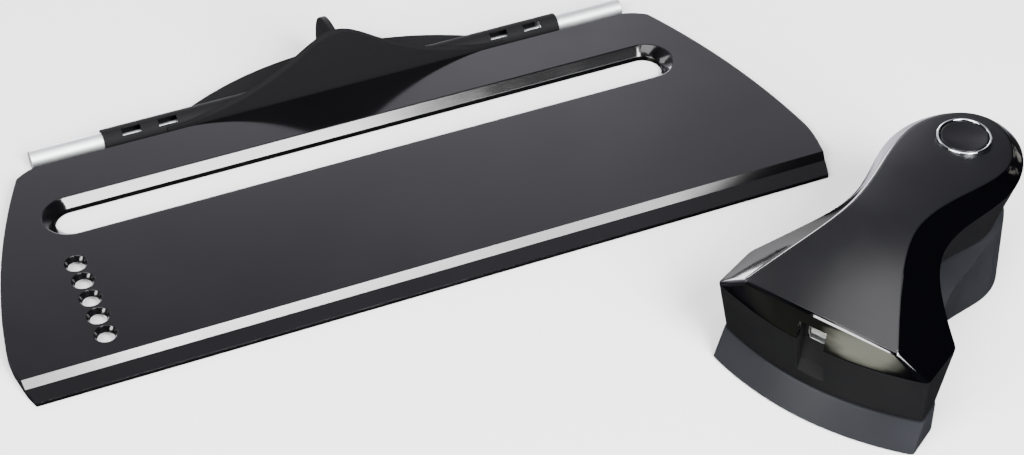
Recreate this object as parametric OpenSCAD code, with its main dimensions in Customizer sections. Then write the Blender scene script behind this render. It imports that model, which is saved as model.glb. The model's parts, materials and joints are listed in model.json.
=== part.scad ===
// Strip-reading set for profiling a printer: a guide plate with a reading slot, a grip and a
// roller rod, and beside it a hand-held measuring head that sits on its calibration base.
// Frame: X along the guide, Y from its front lip to its grip, Z up, table at z = 0.
// Origin: middle of the guide plate, on the table.

/* [Guide plate] */
// Width of the plate at its widest
plate_w = 337; // [326:1:350]
// Depth of the plate from lip to rear edge
plate_d = 125; // [122:1:132]
// Height of the plate's top face above the table
plate_h = 6; // [5.8:0.1:7]
// Thickness of the plate's moulded walls
plate_t = 2.4; // [2:0.1:2.6]
// Height of the plate's rims above the table
plate_lift = 0.4; // [0.2:0.1:0.6]
// Distance from the front edge to the widest place
shoulder_y = 27; // [22:1:35]
// Outward bow of the sides in front of the widest place
shoulder_bow = 1.6; // [0.5:0.1:3]
// Outward bow of the long sides behind it
side_bow = 3.8; // [1:0.1:6]
// Width of the plate at its rear corners
rear_w = 281; // [276:1:290]
// Width of the straight part of the rear edge
rear_flat_w = 263; // [255:1:270]
// Distance the rear corners are cut back
rear_cut = 4.6; // [2:0.1:8]
// Outward bow of the cut corners
rear_bow = 0.5; // [0:0.1:1]
// Width of the lip's front edge
lip_w = 331.5; // [320:0.5:334]
// Depth of the lip
lip_d = 8; // [6:0.5:10]
// Height of the lip's front edge
lip_h = 1.5; // [1.2:0.1:1.8]
// Height of the lip at the foot of the bevel
lip_foot_h = 2.5; // [2:0.1:3]
// Depth of the bevel between lip and top face
bevel_d = 2.3; // [1.5:0.1:4]

/* [Reading slot] */
// Length of the slot's clear opening
slot_l = 265; // [240:1:268]
// Width of the slot's clear opening
slot_w = 15.7; // [14:0.1:18]
// Depth of the flare round the slot
flare = 3.5; // [2:0.1:3.8]
// Distance from the plate's rear edge to the slot's middle
slot_back = 34; // [32:0.5:36]

/* [Row holes] */
// Number of row holes
row_holes = 5; // [1:1:5]
// Distance between row holes
row_pitch = 10.5; // [10:0.1:12]
// Diameter of a row hole
row_d = 6.7; // [5:0.1:7]
// Diameter of a row hole's countersink
row_sink_d = 9.1; // [8:0.1:9.6]
// Depth of a row hole's countersink
row_sink_h = 2; // [1:0.1:2.3]
// Distance of the row holes from the middle of the plate
row_x = 131.7; // [126:0.1:136]
// Distance from the plate's middle to the row of holes' centre
row_y = 20.6; // [16:0.1:26]

/* [Non-slip strips] */
// Length of a strip
strip_l = 220; // [150:1:230]
// Width of a strip
strip_w = 12; // [8:0.5:14]
// Thickness of a strip
strip_t = 1.2; // [1:0.1:1.6]
// Distance from the front strip to the middle one
strip_gap = 42; // [30:1:44]
// Width of rib left on each side of a strip
rib_edge = 2; // [1.5:0.1:3]

/* [Grip and roller] */
// Gap between plate and grip
grip_gap = 1.2; // [0.8:0.1:2]
// Thickness of the grip's upright wall
grip_t = 2.8; // [2:0.1:3.2]
// Height of the wall's peak above the plate
grip_h = 27.8; // [24:0.2:36]
// Distance from the middle to the wall's knee
knee_x = 18; // [14:0.5:24]
// Height of the knee above the plate
knee_h = 18.8; // [15:0.2:22]
// Slope of the wall's edge at the knee
knee_slope = -0.7; // [-0.9:0.05:-0.5]
// Distance from the middle to the wall's foot
foot_x = 75; // [65:1:85]
// Height of the foot above the plate
foot_h = 0.6; // [0.3:0.1:1.5]
// Distance the rear shelf reaches behind the wall
shelf_d = 23.8; // [18:0.2:28]
// Radius of the shelf's rear edge
shelf_r = 132; // [110:1:160]
// Thickness of the shelf
shelf_t = 2.5; // [2:0.1:3]
// Thickness of the middle fin
fin_t = 2.4; // [2:0.1:4]
// Distance the fin stops short of the shelf's rear edge
fin_back = 0.6; // [0.5:0.1:4]
// Distance from the wall's peak down to the fin's top
fin_drop = 1.6; // [0.5:0.1:3]
// Roundness of the fin's outline
fin_power = 3.1; // [2:0.1:4]
// Radius of the rollers at the rod's ends
rod_r = 4; // [3.6:0.1:4.4]
// Radius of the axle between the rollers
axle_r = 1.25; // [1:0.05:2]
// Length of the roller rod
rod_l = 264; // [240:1:280]
// Distance from the wall's front face to the rod's axis
rod_back = 5.8; // [5.2:0.1:6.4]
// Length of the barrel over the rod
barrel_l = 203; // [180:1:210]
// Wall of the barrel
barrel_t = 0.7; // [0.7:0.1:1.2]
// Length of the bearing at each end of the barrel
bearing_l = 7; // [6:0.5:8]
// Depth of the rod's neck in each bearing
neck_depth = 0.2; // [0.1:0.05:0.4]
// Running clearance of the rod in its bearings
run_gap = 0.06; // [0.02:0.01:0.1]
// Play of the rod along its axis, each way
rod_play = 0.3; // [0.3:0.05:0.6]
// Length of the rod's shoulder inside each bearing
rod_shoulder = 0.6; // [0.4:0.1:1.5]
// Clearance of the rod inside the barrel
barrel_gap = 0.3; // [0.3:0.05:0.6]
// Height of the barrel's open underside above the table
barrel_open = 0.8; // [0.6:0.1:1.2]
// Length of a barrel window
window_l = 8; // [6:0.5:10]
// Height of a barrel window
window_h = 2.8; // [2:0.1:3.4]
// Distance between the two windows of a pair
window_pitch = 15.5; // [13:0.5:16]
// Distance from the middle to the inner window
window_x = 74; // [68:0.5:76]
// Tilt of the windows from the level
window_tilt = 66; // [50:1:80]
// Half length of the tongue under the plate
tongue_x = 62; // [55:1:70]
// Reach of the tongue under the plate
tongue_d = 15; // [12:0.5:16]
// Distance of the outer grip screws from the middle
grip_screw_out = 50; // [40:1:56]
// Distance of the inner grip screws from the middle
grip_screw_in = 20; // [10:1:30]
// Distance of the grip screws from the plate's rear edge
grip_screw_back = 8.5; // [7.5:0.1:9]

/* [Screws] */
// Diameter of a screw's shank
screw_d = 2.5; // [2:0.1:3]
// Diameter of a screw's head
screw_head_d = 4.6; // [4:0.1:5]
// Height of a screw's head
screw_head_h = 1.4; // [1.2:0.1:1.6]
// Clearance round a screw
screw_gap = 0.1; // [0.05:0.05:0.3]
// Width of the cross in a screw's head
cross_w = 0.6; // [0.4:0.1:0.8]
// Depth of the cross in a screw's head
cross_d = 0.5; // [0.3:0.1:0.7]
// Length of a screw's hold in its boss
screw_hold = 4.4; // [3:0.1:5]
// Wall of a screw boss
boss_t = 2; // [1.5:0.1:2.5]

/* [Place of the measuring head] */
// Distance of the head's tail from the middle, along the guide
head_x = 98.8; // [80:0.1:140]
// Distance of the head's tail in front of the middle
head_y = 172.3; // [165:0.1:220]
// Turn of the head from the guide's length
head_turn = -59.2; // [-75:0.1:-45]
// Distance the head lifts off its base
lift = 45; // [30:1:60]

/* [Head: glossy surround's lower edge] */
// Half width at the rear corners
band_corner_w = 43.8; // [42.8:0.1:45.4]
// Half width at the ears
band_ear_w = 43.2; // [42:0.1:44.6]
// Half width at the neck
band_neck_w = 21; // [20:0.1:23]
// Half width at the round end
band_end_w = 26; // [24.6:0.1:27]
// Distance of the ears from the rear corners
band_ear_v = 21.3; // [20:0.1:23]
// Distance of the neck from the rear corners
band_neck_v = 56; // [52:0.1:60]
// Distance of the round end's widest place
band_end_v = 91; // [88:0.1:94]
// Distance of the tip
band_tip_v = 124.5; // [122:0.1:127]
// Backward bow of the rear edge
band_bow = 8; // [7.6:0.1:9]
// Height at the tail
band_tail_h = 36.6; // [36:0.1:38]
// Height at neck and round end
band_end_h = 52; // [50:0.1:53]
// Change of the half width just past the ears
band_turn = -1.6; // [-1.8:0.1:-1.2]
// Climb of the edge just past the ears
band_climb = 1.08; // [0.8:0.01:1.2]

/* [Head: top panel] */
// Half width at the rear corners
panel_corner_w = 31.6; // [30:0.1:33]
// Half width a little in front of them
panel_ear_w = 26.4; // [25:0.1:28]
// Half width at the neck
panel_neck_w = 13; // [12:0.1:15]
// Half width at the round end
panel_end_w = 20.3; // [19:0.1:21]
// Distance of the rear corners from the surround's
panel_corner_v = -1.8; // [-2.4:0.1:-1]
// Distance of the place in front of the corners
panel_ear_v = 7; // [6:0.1:9]
// Distance of the neck
panel_neck_v = 43; // [40:0.1:46]
// Distance of the round end's widest place
panel_end_v = 95; // [93:0.1:97]
// Distance of the tip
panel_tip_v = 119; // [117:0.1:120]
// Backward bow of the rear edge
panel_bow = 3; // [2:0.1:4]
// Change of the half width in front of the corners
panel_turn = -0.56; // [-0.7:0.01:-0.4]
// Height of the ridge over the rear corners
ridge_tail_h = 50.9; // [49.5:0.1:52]
// Slope of the ridge over the rear corners
ridge_slope = 0.45; // [0.35:0.01:0.55]
// Distance of the ridge's summit
ridge_top_v = 46; // [42:0.1:50]
// Height of the ridge's summit
ridge_top_h = 64.9; // [63.5:0.1:66.5]
// Height of the ridge at the tip
ridge_tip_h = 57; // [55.5:0.1:58]
// Radius of the crown across the head
crown_r = 110; // [100:1:140]

/* [Head: lower case's underside] */
// Half width at the rear corners
case_corner_w = 41.8; // [40.8:0.1:42.6]
// Half width at the ears
case_ear_w = 41; // [40:0.1:41.6]
// Half width at the neck
case_neck_w = 16; // [15:0.1:17]
// Half width at the round end
case_end_w = 22; // [21:0.1:22.6]
// Distance of the rear corners from the surround's
case_corner_v = 4.6; // [4:0.1:5.4]
// Distance of the ears
case_ear_v = 15.2; // [14:0.1:16]
// Distance of the neck
case_neck_v = 58; // [55:0.1:61]
// Distance of the round end's widest place
case_end_v = 84; // [82:0.1:87]
// Distance of the tip
case_tip_v = 112; // [111:0.1:113]
// Backward bow of the rear edge
case_bow = 8.1; // [7.6:0.1:8.6]
// Height of the waist at the tail
waist_h = 12.5; // [11.5:0.1:14]
// Height at neck and round end
case_end_h = 34; // [33:0.1:35]
// Change of the half width just past the ears
case_turn = -1; // [-1.2:0.1:-0.8]
// Climb of the underside just past the ears
case_climb = 0.3; // [0.2:0.05:0.5]

/* [Base outline] */
// Width of the base's edge round the waist
crease_w = 0.6; // [0.5:0.1:1]
// Drop of the base's edge below the waist
crease_drop = 0.7; // [0.6:0.1:1]
// Half width of the crease at the neck
crease_neck_w = 25.5; // [24:0.1:27]
// Half width of the crease at the round end
crease_end_w = 24.5; // [23.9:0.1:25.2]
// Distance of the crease's neck
crease_neck_v = 57; // [54:0.1:60]
// Distance of the crease's widest place at the round end
crease_end_v = 86; // [84:0.1:89]
// Distance of the crease's tip
crease_tip_v = 115; // [114.4:0.1:116]
// Height of the crease at neck and round end
crease_end_h = 32.4; // [31.5:0.1:33]
// Change of the crease's half width past the ears
crease_turn = -0.9; // [-1.1:0.1:-0.7]
// Climb of the crease past the ears
crease_climb = 0.5; // [0.4:0.05:0.6]
// Half width of the foot at the rear corners
foot_corner_w = 42.9; // [42.1:0.1:44.1]
// Half width of the foot at the ears
foot_ear_w = 41.8; // [41.1:0.1:42.7]
// Half width of the foot at the neck
foot_neck_w = 18.9; // [18:0.1:21]
// Half width of the foot at the round end
foot_end_w = 24.6; // [23.8:0.1:26]
// Distance of the foot's rear corners
foot_corner_v = -1.4; // [-2.2:0.1:0.3]
// Distance of the foot's neck
foot_neck_v = 62; // [59:0.1:65]
// Distance of the foot's widest place at the round end
foot_end_v = 90; // [88:0.1:92]
// Distance of the foot's tip
foot_tip_v = 115.9; // [115.2:0.1:117.2]
// Change of the foot's half width past the ears
foot_turn = -1.3; // [-1.5:0.1:-1.1]

/* [Head shells] */
// Wall of the head's shells
shell_t = 2.2; // [1.8:0.1:2.4]
// Width of the surround's bright rim round the panel
rim_w = 0.8; // [0.5:0.1:1.2]
// Gap between neighbouring shells
shell_gap = 0.1; // [0.05:0.01:0.2]
// Width of the ledge that carries the panel
ledge_w = 1.5; // [1:0.1:2]
// Gap between the head and its base
seat_gap = 0.4; // [0.3:0.05:0.6]

/* [Button] */
// Distance of the button from the tail
button_v = 101; // [98:0.5:102]
// Outer radius of the chrome ring
ring_r = 10.5; // [9.5:0.1:11]
// Width of the chrome ring
ring_w = 1.1; // [0.9:0.1:2]
// Height of the ring's top above the panel
ring_h = 2.1; // [1:0.1:2.4]
// Bevel of the ring's edges
ring_edge = 0.4; // [0.2:0.1:0.6]
// Distance of the button's edge below the ring's top
button_sunk = 0.2; // [0.1:0.1:0.8]
// Gap between button and ring
button_gap = 0.3; // [0.2:0.05:0.5]
// Depth of the button's dish
dish = 0.6; // [0.3:0.1:1.2]
// Thickness of the flange that keeps the button in
cap_flange_t = 1.2; // [0.8:0.1:1.4]
// Radius of the switch's plunger
plunger_r = 2; // [1.5:0.1:2.4]
// Height of the switch's body
switch_h = 4.4; // [4:0.1:5]
// Width of the switch's body
switch_w = 7; // [6:0.1:8]
// Half distance between the switch board's posts
switch_post_u = 10; // [9:0.5:11]
// Distance of those posts behind the button
switch_post_back = 8; // [6:0.5:9]
// Radius of those posts
switch_post_r = 2; // [1.5:0.1:2.4]
// Travel of the button
travel = 1; // [0.6:0.1:1.2]

/* [Data socket] */
// Width of the recess round the socket
recess_w = 11.2; // [10.8:0.1:13]
// Height of the recess's top edge
recess_top = 44.6; // [44:0.1:46]
// Height of the recess's lower end
recess_low = 18; // [15:0.5:24]
// Distance of the recess's back from the tail
recess_v = -1.6; // [-2.2:0.1:-1.4]
// Height below which the recess's back runs out to the skin
ramp_h = 33.3; // [31:0.1:33.5]
// Place of the foot of the recess's back
ramp_v = -4.6; // [-5:0.1:-4.4]
// Wall of the recess's liner
liner_t = 1.2; // [0.8:0.1:1.6]
// Width of the socket's metal shell
socket_w = 8; // [7.5:0.1:9]
// Height of the socket's metal shell
socket_h = 5.4; // [4:0.1:5.6]
// Length of the socket's metal shell
socket_l = 9.2; // [8:0.1:11]
// Distance the socket stands out of the recess's back
socket_out = 0.4; // [0.2:0.1:0.8]
// Thickness of the socket's metal
socket_t = 0.4; // [0.3:0.05:0.5]
// Clearance round the socket's insulator
tongue_gap = 0.5; // [0.3:0.1:0.8]
// Distance of the insulator's underside below the socket's middle
tongue_low = 0.4; // [0.1:0.1:0.8]

/* [Boards] */
// Side of the processor
processor_w = 10; // [8:0.5:11]
// Width of the memory
memory_w = 7; // [5:0.5:8]
// Depth of the memory and the clock
memory_d = 5; // [3:0.5:6]
// Width of the clock
clock_w = 4; // [3:0.5:5]
// Height of the board's packages
package_h = 1.4; // [1:0.1:2]
// Space between the packages
package_gap = 3; // [2.5:0.5:4]
// Thickness of the circuit boards
board_t = 1.6; // [1.2:0.1:1.8]
// Height of the main board's underside
board_h = 32.3; // [32:0.1:33]
// Half width of the main board
board_w = 33; // [28:0.5:34]
// Length of the main board
board_l = 20; // [18:0.5:22]
// Distance of the main board's rear edge from the tail
board_v = 0.4; // [0:0.1:1]
// Half distance between the tail posts
post_u = 18; // [16:0.5:18.5]
// Distance of the tail posts from the tail
post_v = 8; // [7:0.5:9]
// Distance of the neck post from the tail
neck_post_v = 60; // [56:0.5:64]
// Height of the neck post on the case's floor
neck_post_h = 6; // [4:0.5:8]

/* [Measuring nose] */
// Distance of the nose from the tail
nose_v = 87; // [85:0.5:89]
// Radius of the nose barrel
nose_r = 14; // [12.5:0.1:14.5]
// Wall of the nose barrel
nose_t = 1.6; // [1.2:0.1:2]
// Height of the nose's lower end
nose_low = 6.9; // [6.5:0.1:8]
// Radius of the foot that runs in the reading slot
nose_foot_r = 7.5; // [6.5:0.1:7.7]
// Clearance of the nose in the base's deck
nose_gap = 0.8; // [0.5:0.1:1.2]
// Radius of the measuring aperture
aperture_r = 4; // [3:0.1:5]
// Number of lamps round the aperture
lamps = 8; // [6:1:10]
// Radius of the ring of lamps
lamp_ring_r = 9; // [8.5:0.1:9.4]
// Radius of the lens
lens_r = 6.4; // [5.5:0.1:7]

/* [Calibration base] */
// Height of the base's rim above the table
base_lift = 0.6; // [0.4:0.1:0.8]
// Thickness of the base's floor plate
floor_t = 2; // [1.6:0.1:2.4]
// Radius of the white tile
tile_r = 11; // [9:0.1:11.5]
// Thickness of the white tile
tile_t = 2.2; // [1.8:0.1:2.4]
// Distance of the floor plate above the base's rim
floor_in = 0.4; // [0.2:0.1:0.8]
// Gap round the floor plate
floor_gap = 1.6; // [1.4:0.1:2]
// Radius of a rubber foot
pad_r = 5; // [4:0.1:6]
// Depth of a rubber foot's seat in the floor plate
pad_seat = 0.6; // [0.4:0.1:0.8]
// Wall of the tile's holder
holder_wall = 2; // [1.5:0.1:2.4]
// Height of the tile's holder
holder_h = 2.6; // [2.2:0.1:2.8]
// Thickness of the holder's floor under the tile
holder_floor = 0.8; // [0.6:0.1:1]

/* [Hidden] */
$fn = 64;

// Guide values
front_y = -plate_d/2;
rear_y = plate_d/2;
slot_y = rear_y - slot_back;
slot_half = slot_l/2 - slot_w/2;
top_under = plate_h - plate_t;
grip_y = rear_y + grip_gap;
rod_y = grip_y + rod_back;
barrel_r = rod_r + barrel_gap + barrel_t;
bearing_in = barrel_l/2 - bearing_l;
strip_ys = [-strip_gap, 0];
rib_h = top_under - plate_lift;
tongue_h = top_under - barrel_open;
grip_screw_xs = [-grip_screw_out, -grip_screw_in, grip_screw_in, grip_screw_out];
grip_screw_y = rear_y - grip_screw_back;
grip_screw_l = tongue_h - screw_head_h + plate_t*0.6;

// Head values
rear_n = 8;
ear_n = 3;
neck_n = 10;
end_n = 8;
tip_n = 10;
half_n = rear_n + ear_n + neck_n + end_n + tip_n;
ring_n = 2*half_n;
panel_rows = [1, 0.8, 0.55, 0.3];
panel_mid_v = 50;
panel_draw = 0.3;

seat_z = top_z(0, button_v) - 1.2;
ring_top = top_z(0, button_v) + ring_h;
button_r = ring_r - ring_w - button_gap;
panel_under = top_z(0, button_v) - shell_t;
retainer_z = panel_under - 1.2;
cap_low = retainer_z - button_gap - cap_flange_t;
switch_top = cap_low - travel - 1.7;
switch_board_top = switch_top - switch_h;

case_floor = case_end_h + shell_t;
board_top = board_h + board_t;
socket_z = board_top + socket_h/2;
package_v = recess_v - socket_out + socket_l + 1;
head_back = 25;
post_r = screw_d/2 + boss_t;
board_post_u = 30;
board_post_vs = [2, 14];
post_top = board_h - 3;
screw_bore = screw_d + 2*screw_gap;
cable_t = 0.3;
cable_w = 10;
cable_flat = 6;
cable_hump = 4;
cable_hump_v = 14;

nose_flange_t = 2;
nose_top = case_floor + nose_flange_t;
nose_in = nose_r - nose_t;
lens_z = 19;
lens_t = 3;
lamp_z = 26;
lamp_ledge = 1;
lamp_size = [2.2, 2.2, 1.2];
chip_size = [5, 5, 1.2];
foot_h_total = 6;
deck_hole_r = nose_r + nose_gap;

floor_z = base_lift + floor_in;
floor_top = floor_z + floor_t;
tile_seat = floor_top + holder_floor;
base_bosses = [[-16, 8], [16, 8], [0, 60], [0, 106]];
base_pads = [[-32, 5], [32, 5], [-11, 80], [11, 80]];

function lerp(a, b, t) = a + (b - a)*t;

// Smooth run from a to b with slopes sa and sb at its ends
function ease(a, b, sa, sb, run, t) =
    (1 + 2*t)*pow(1 - t, 2)*a + t*pow(1 - t, 2)*run*sa + t*t*(3 - 2*t)*b + t*t*(t - 1)*run*sb;

// Bowed line from p towards q, with the bow on the right-hand side; q is left out
function bowed(p, q, bow, n) =
    let (d = (q - p)/norm(q - p))
    [for (i = [0:n - 1]) let (t = i/n) lerp(p, q, t) + 4*bow*t*(1 - t)*[d[1], -d[0]]];

function mirrored(pts) = [for (i = [len(pts) - 1:-1:0]) [-pts[i][0], pts[i][1]]];

// Right side of the plate's outline, moved in by d
function plate_side(d) =
    let (lip = [lip_w/2 - d, front_y + d], wide = [plate_w/2 - d, front_y + shoulder_y],
         corner = [rear_w/2 - d, rear_y - rear_cut - d/2], back = [rear_flat_w/2 - d/2, rear_y - d])
    concat(bowed(lip, wide, shoulder_bow, 8), bowed(wide, corner, side_bow, 14),
           bowed(corner, back, rear_bow, 4), [back]);

function plate_outline(d) = concat(plate_side(d), mirrored(plate_side(d)));

// Upper edge of the grip's wall above the plate, right half
function bell_side() = concat(
    [for (i = [0:11]) let (t = i/12) [knee_x*t, plate_h + ease(grip_h, knee_h, 0, knee_slope, knee_x, t)]],
    [for (i = [0:16]) let (t = i/16, run = foot_x - knee_x)
        [knee_x + run*t, plate_h + ease(knee_h, foot_h, knee_slope, 0, run, t)]]);

// Height of the head's top over the point u, v
function ridge_z(v) =
    let (tail_v = panel_corner_v)
    v < ridge_top_v
        ? let (run = ridge_top_v - tail_v)
            ease(ridge_tail_h, ridge_top_h, ridge_slope, 0, run, (v - tail_v)/run)
        : let (run = panel_tip_v - ridge_top_v)
            ease(ridge_top_h, ridge_tip_h, 0, 0, run, (v - ridge_top_v)/run);
function top_z(u, v) = ridge_z(v) - u*u/(2*crown_r);

// Right half of an edge round the head, from the middle of the tail to the tip
function edge(corner, ear, neck, head, tip, bow, turn) = concat(
    [for (i = [0:rear_n - 1]) let (t = i/rear_n) [corner[0]*t, corner[1] - bow*(1 - t*t), corner[2]]],
    [for (i = [0:ear_n - 1]) lerp(corner, ear, i/ear_n)],
    [for (i = [0:neck_n - 1]) let (t = i/neck_n, run = neck[1] - ear[1])
        [ease(ear[0], neck[0], turn[0], 0, run, t), ear[1] + run*t,
         ease(ear[2], neck[2], turn[1], 0, run, t)]],
    [for (i = [0:end_n - 1]) let (t = i/end_n, run = head[1] - neck[1])
        [ease(neck[0], head[0], 0, 0, run, t), neck[1] + run*t, ease(neck[2], head[2], 0, 0, run, t)]],
    [for (i = [0:tip_n]) let (a = 90*i/tip_n)
        [head[0]*cos(a), head[1] + (tip - head[1])*sin(a), head[2]]]);

// Both halves as one closed ring, anticlockwise from above
function ring(half) = concat(half, [for (i = [half_n - 1:-1:1]) [-half[i][0], half[i][1], half[i][2]]]);

// A ring moved inwards by d and down by drop
function shrink(r, d, drop = 0) =
    [for (i = [0:ring_n - 1])
        let (p = r[i], a = p - r[(i + ring_n - 1) % ring_n], b = r[(i + 1) % ring_n] - p,
             m = [-a[1], a[0]]/norm([a[0], a[1]]), k = [-b[1], b[0]]/norm([b[0], b[1]]),
             s = d/(1 + m*k))
        [p[0] + s*(m[0] + k[0]), p[1] + s*(m[1] + k[1]), p[2] - drop]];

function flat_ring(r) = [for (p = r) [p[0], p[1]]];

band_edge = ring(edge([band_corner_w, 0, band_tail_h], [band_ear_w, band_ear_v, band_tail_h],
    [band_neck_w, band_neck_v, band_end_h], [band_end_w, band_end_v, band_end_h],
    band_tip_v, band_bow, [band_turn, band_climb]));
panel_plan = ring(edge([panel_corner_w, panel_corner_v, 0], [panel_ear_w, panel_ear_v, 0],
    [panel_neck_w, panel_neck_v, 0], [panel_end_w, panel_end_v, 0], panel_tip_v, panel_bow, [panel_turn, 0]));
panel_edge = [for (p = panel_plan) [p[0], p[1], top_z(p[0], p[1])]];
case_edge = ring(edge([case_corner_w, case_corner_v, waist_h], [case_ear_w, case_ear_v, waist_h],
    [case_neck_w, case_neck_v, case_end_h], [case_end_w, case_end_v, case_end_h],
    case_tip_v, case_bow, [case_turn, case_climb]));
crease_edge = ring(edge([case_corner_w + crease_w, case_corner_v, waist_h - crease_drop],
    [case_ear_w + crease_w, case_ear_v, waist_h - crease_drop], [crease_neck_w, crease_neck_v, crease_end_h],
    [crease_end_w, crease_end_v, crease_end_h], crease_tip_v, case_bow + crease_w,
    [crease_turn, crease_climb]));
foot_edge = ring(edge([foot_corner_w, foot_corner_v, base_lift], [foot_ear_w, case_ear_v, base_lift],
    [foot_neck_w, foot_neck_v, base_lift], [foot_end_w, foot_end_v, base_lift],
    foot_tip_v, case_bow, [foot_turn, 0]));

// Faces between ring a and ring b, whose outside lies to the right of the way from a to b
function strip(a, b) = [for (i = [0:ring_n - 1])
    let (j = (i + 1) % ring_n, p = a*ring_n, q = b*ring_n)
    each [[p + i, q + i, q + j], [p + i, q + j, p + j]]];

// Faces that close ring a with level lines from side to side, seen from above
function lid(a) = let (p = a*ring_n, far = p + half_n) concat(
    [[p, p + ring_n - 1, p + 1]],
    [for (i = [1:half_n - 2]) let (j = p + ring_n - i) each [[p + i, j, j - 1], [p + i, j - 1, p + i + 1]]],
    [[far - 1, far + 1, far]]);
function flipped(faces) = [for (f = faces) [f[2], f[1], f[0]]];
function joined(rings) = [for (r = rings) each r];

// Ring of the top panel drawn in by the share s, lowered by drop
function panel_ring(s, drop) = [for (p = panel_edge)
    let (u = p[0]*s, v = panel_mid_v + (p[1] - panel_mid_v)*(1 - (1 - s)*panel_draw))
    [u, v, top_z(u, v) - drop]];

module at_head() { translate([head_x, -head_y, 0]) rotate(head_turn) children(); }

module at_nose() { at_head() translate([0, nose_v, 0]) children(); }

module stadium(half, r) {
    square([2*half, 2*r], center = true);
    for (s = [-1, 1]) translate([s*half, 0]) circle(r);
}

// Flare of the reading slot, from its opening to its rim
module slot_flare() {
    rim = slot_w/2 + flare;
    for (s = [-1, 1]) translate([s*slot_half, 0, 0]) cylinder(h = flare, r1 = slot_w/2, r2 = rim);
    translate([-slot_half, 0, 0]) rotate([90, 0, 90]) linear_extrude(2*slot_half)
        polygon([[-slot_w/2, 0], [slot_w/2, 0], [rim, flare], [-rim, flare]]);
}

// Screw with its head down, shank up from z = 0, and a cross recess
module screw(l) {
    difference() {
        union() {
            translate([0, 0, -screw_head_h]) cylinder(h = screw_head_h, d = screw_head_d);
            cylinder(h = l, d = screw_d);
        }
        for (a = [0, 90]) rotate(a) translate([0, 0, -screw_head_h])
            cube([screw_d, cross_w, 2*cross_d], center = true);
    }
}

module screw_hole(l, depth) {
    translate([0, 0, -depth - screw_head_h])
        cylinder(h = screw_head_h + depth, d = screw_head_d + 2*screw_gap);
    cylinder(h = l, d = screw_bore);
}

module guide_plate() {
    hollow_y = front_y + lip_d + bevel_d + plate_t;
    color("#26272a") difference() {
        union() {
            difference() {
                translate([0, 0, plate_lift]) linear_extrude(plate_h - plate_lift) polygon(plate_outline(0));
                linear_extrude(top_under) intersection() {
                    polygon(plate_outline(plate_t));
                    translate([-plate_w/2, hollow_y]) square([plate_w, plate_d]);
                }
            }
            translate([0, slot_y, plate_lift]) linear_extrude(plate_h - plate_lift)
                stadium(slot_half, slot_w/2 + flare);
            for (y = strip_ys) translate([-strip_l/2 - rib_edge, y - strip_w/2 - rib_edge, plate_lift])
                cube([strip_l + 2*rib_edge, strip_w + 2*rib_edge, rib_h]);
        }
        // bevel and lip
        translate([-plate_w, front_y, 0]) rotate([90, 0, 90]) linear_extrude(2*plate_w)
            polygon([[-1, lip_h], [0, lip_h], [lip_d, lip_foot_h], [lip_d + bevel_d, plate_h],
                     [lip_d + bevel_d, plate_h + 1], [-1, plate_h + 1]]);
        translate([0, slot_y, 0]) linear_extrude(plate_h) stadium(slot_half, slot_w/2);
        translate([0, slot_y, plate_h - flare]) slot_flare();
        for (i = [0:row_holes - 1]) translate([-row_x, -row_y + (i - (row_holes - 1)/2)*row_pitch, 0]) {
            cylinder(h = plate_h + 1, d = row_d);
            translate([0, 0, plate_h - row_sink_h]) cylinder(h = row_sink_h, d1 = row_d, d2 = row_sink_d);
        }
        for (y = strip_ys) translate([-strip_l/2, y - strip_w/2, 0]) cube([strip_l, strip_w, strip_t]);
        // way for the grip's tongue through the rear rim
        translate([-tongue_x - shell_gap, rear_y - 2*plate_t, 0])
            cube([2*(tongue_x + shell_gap), 3*plate_t, top_under]);
        for (x = grip_screw_xs) translate([x, grip_screw_y, barrel_open + screw_head_h])
            cylinder(h = grip_screw_l + screw_gap, d = screw_bore);
    }
}

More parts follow.
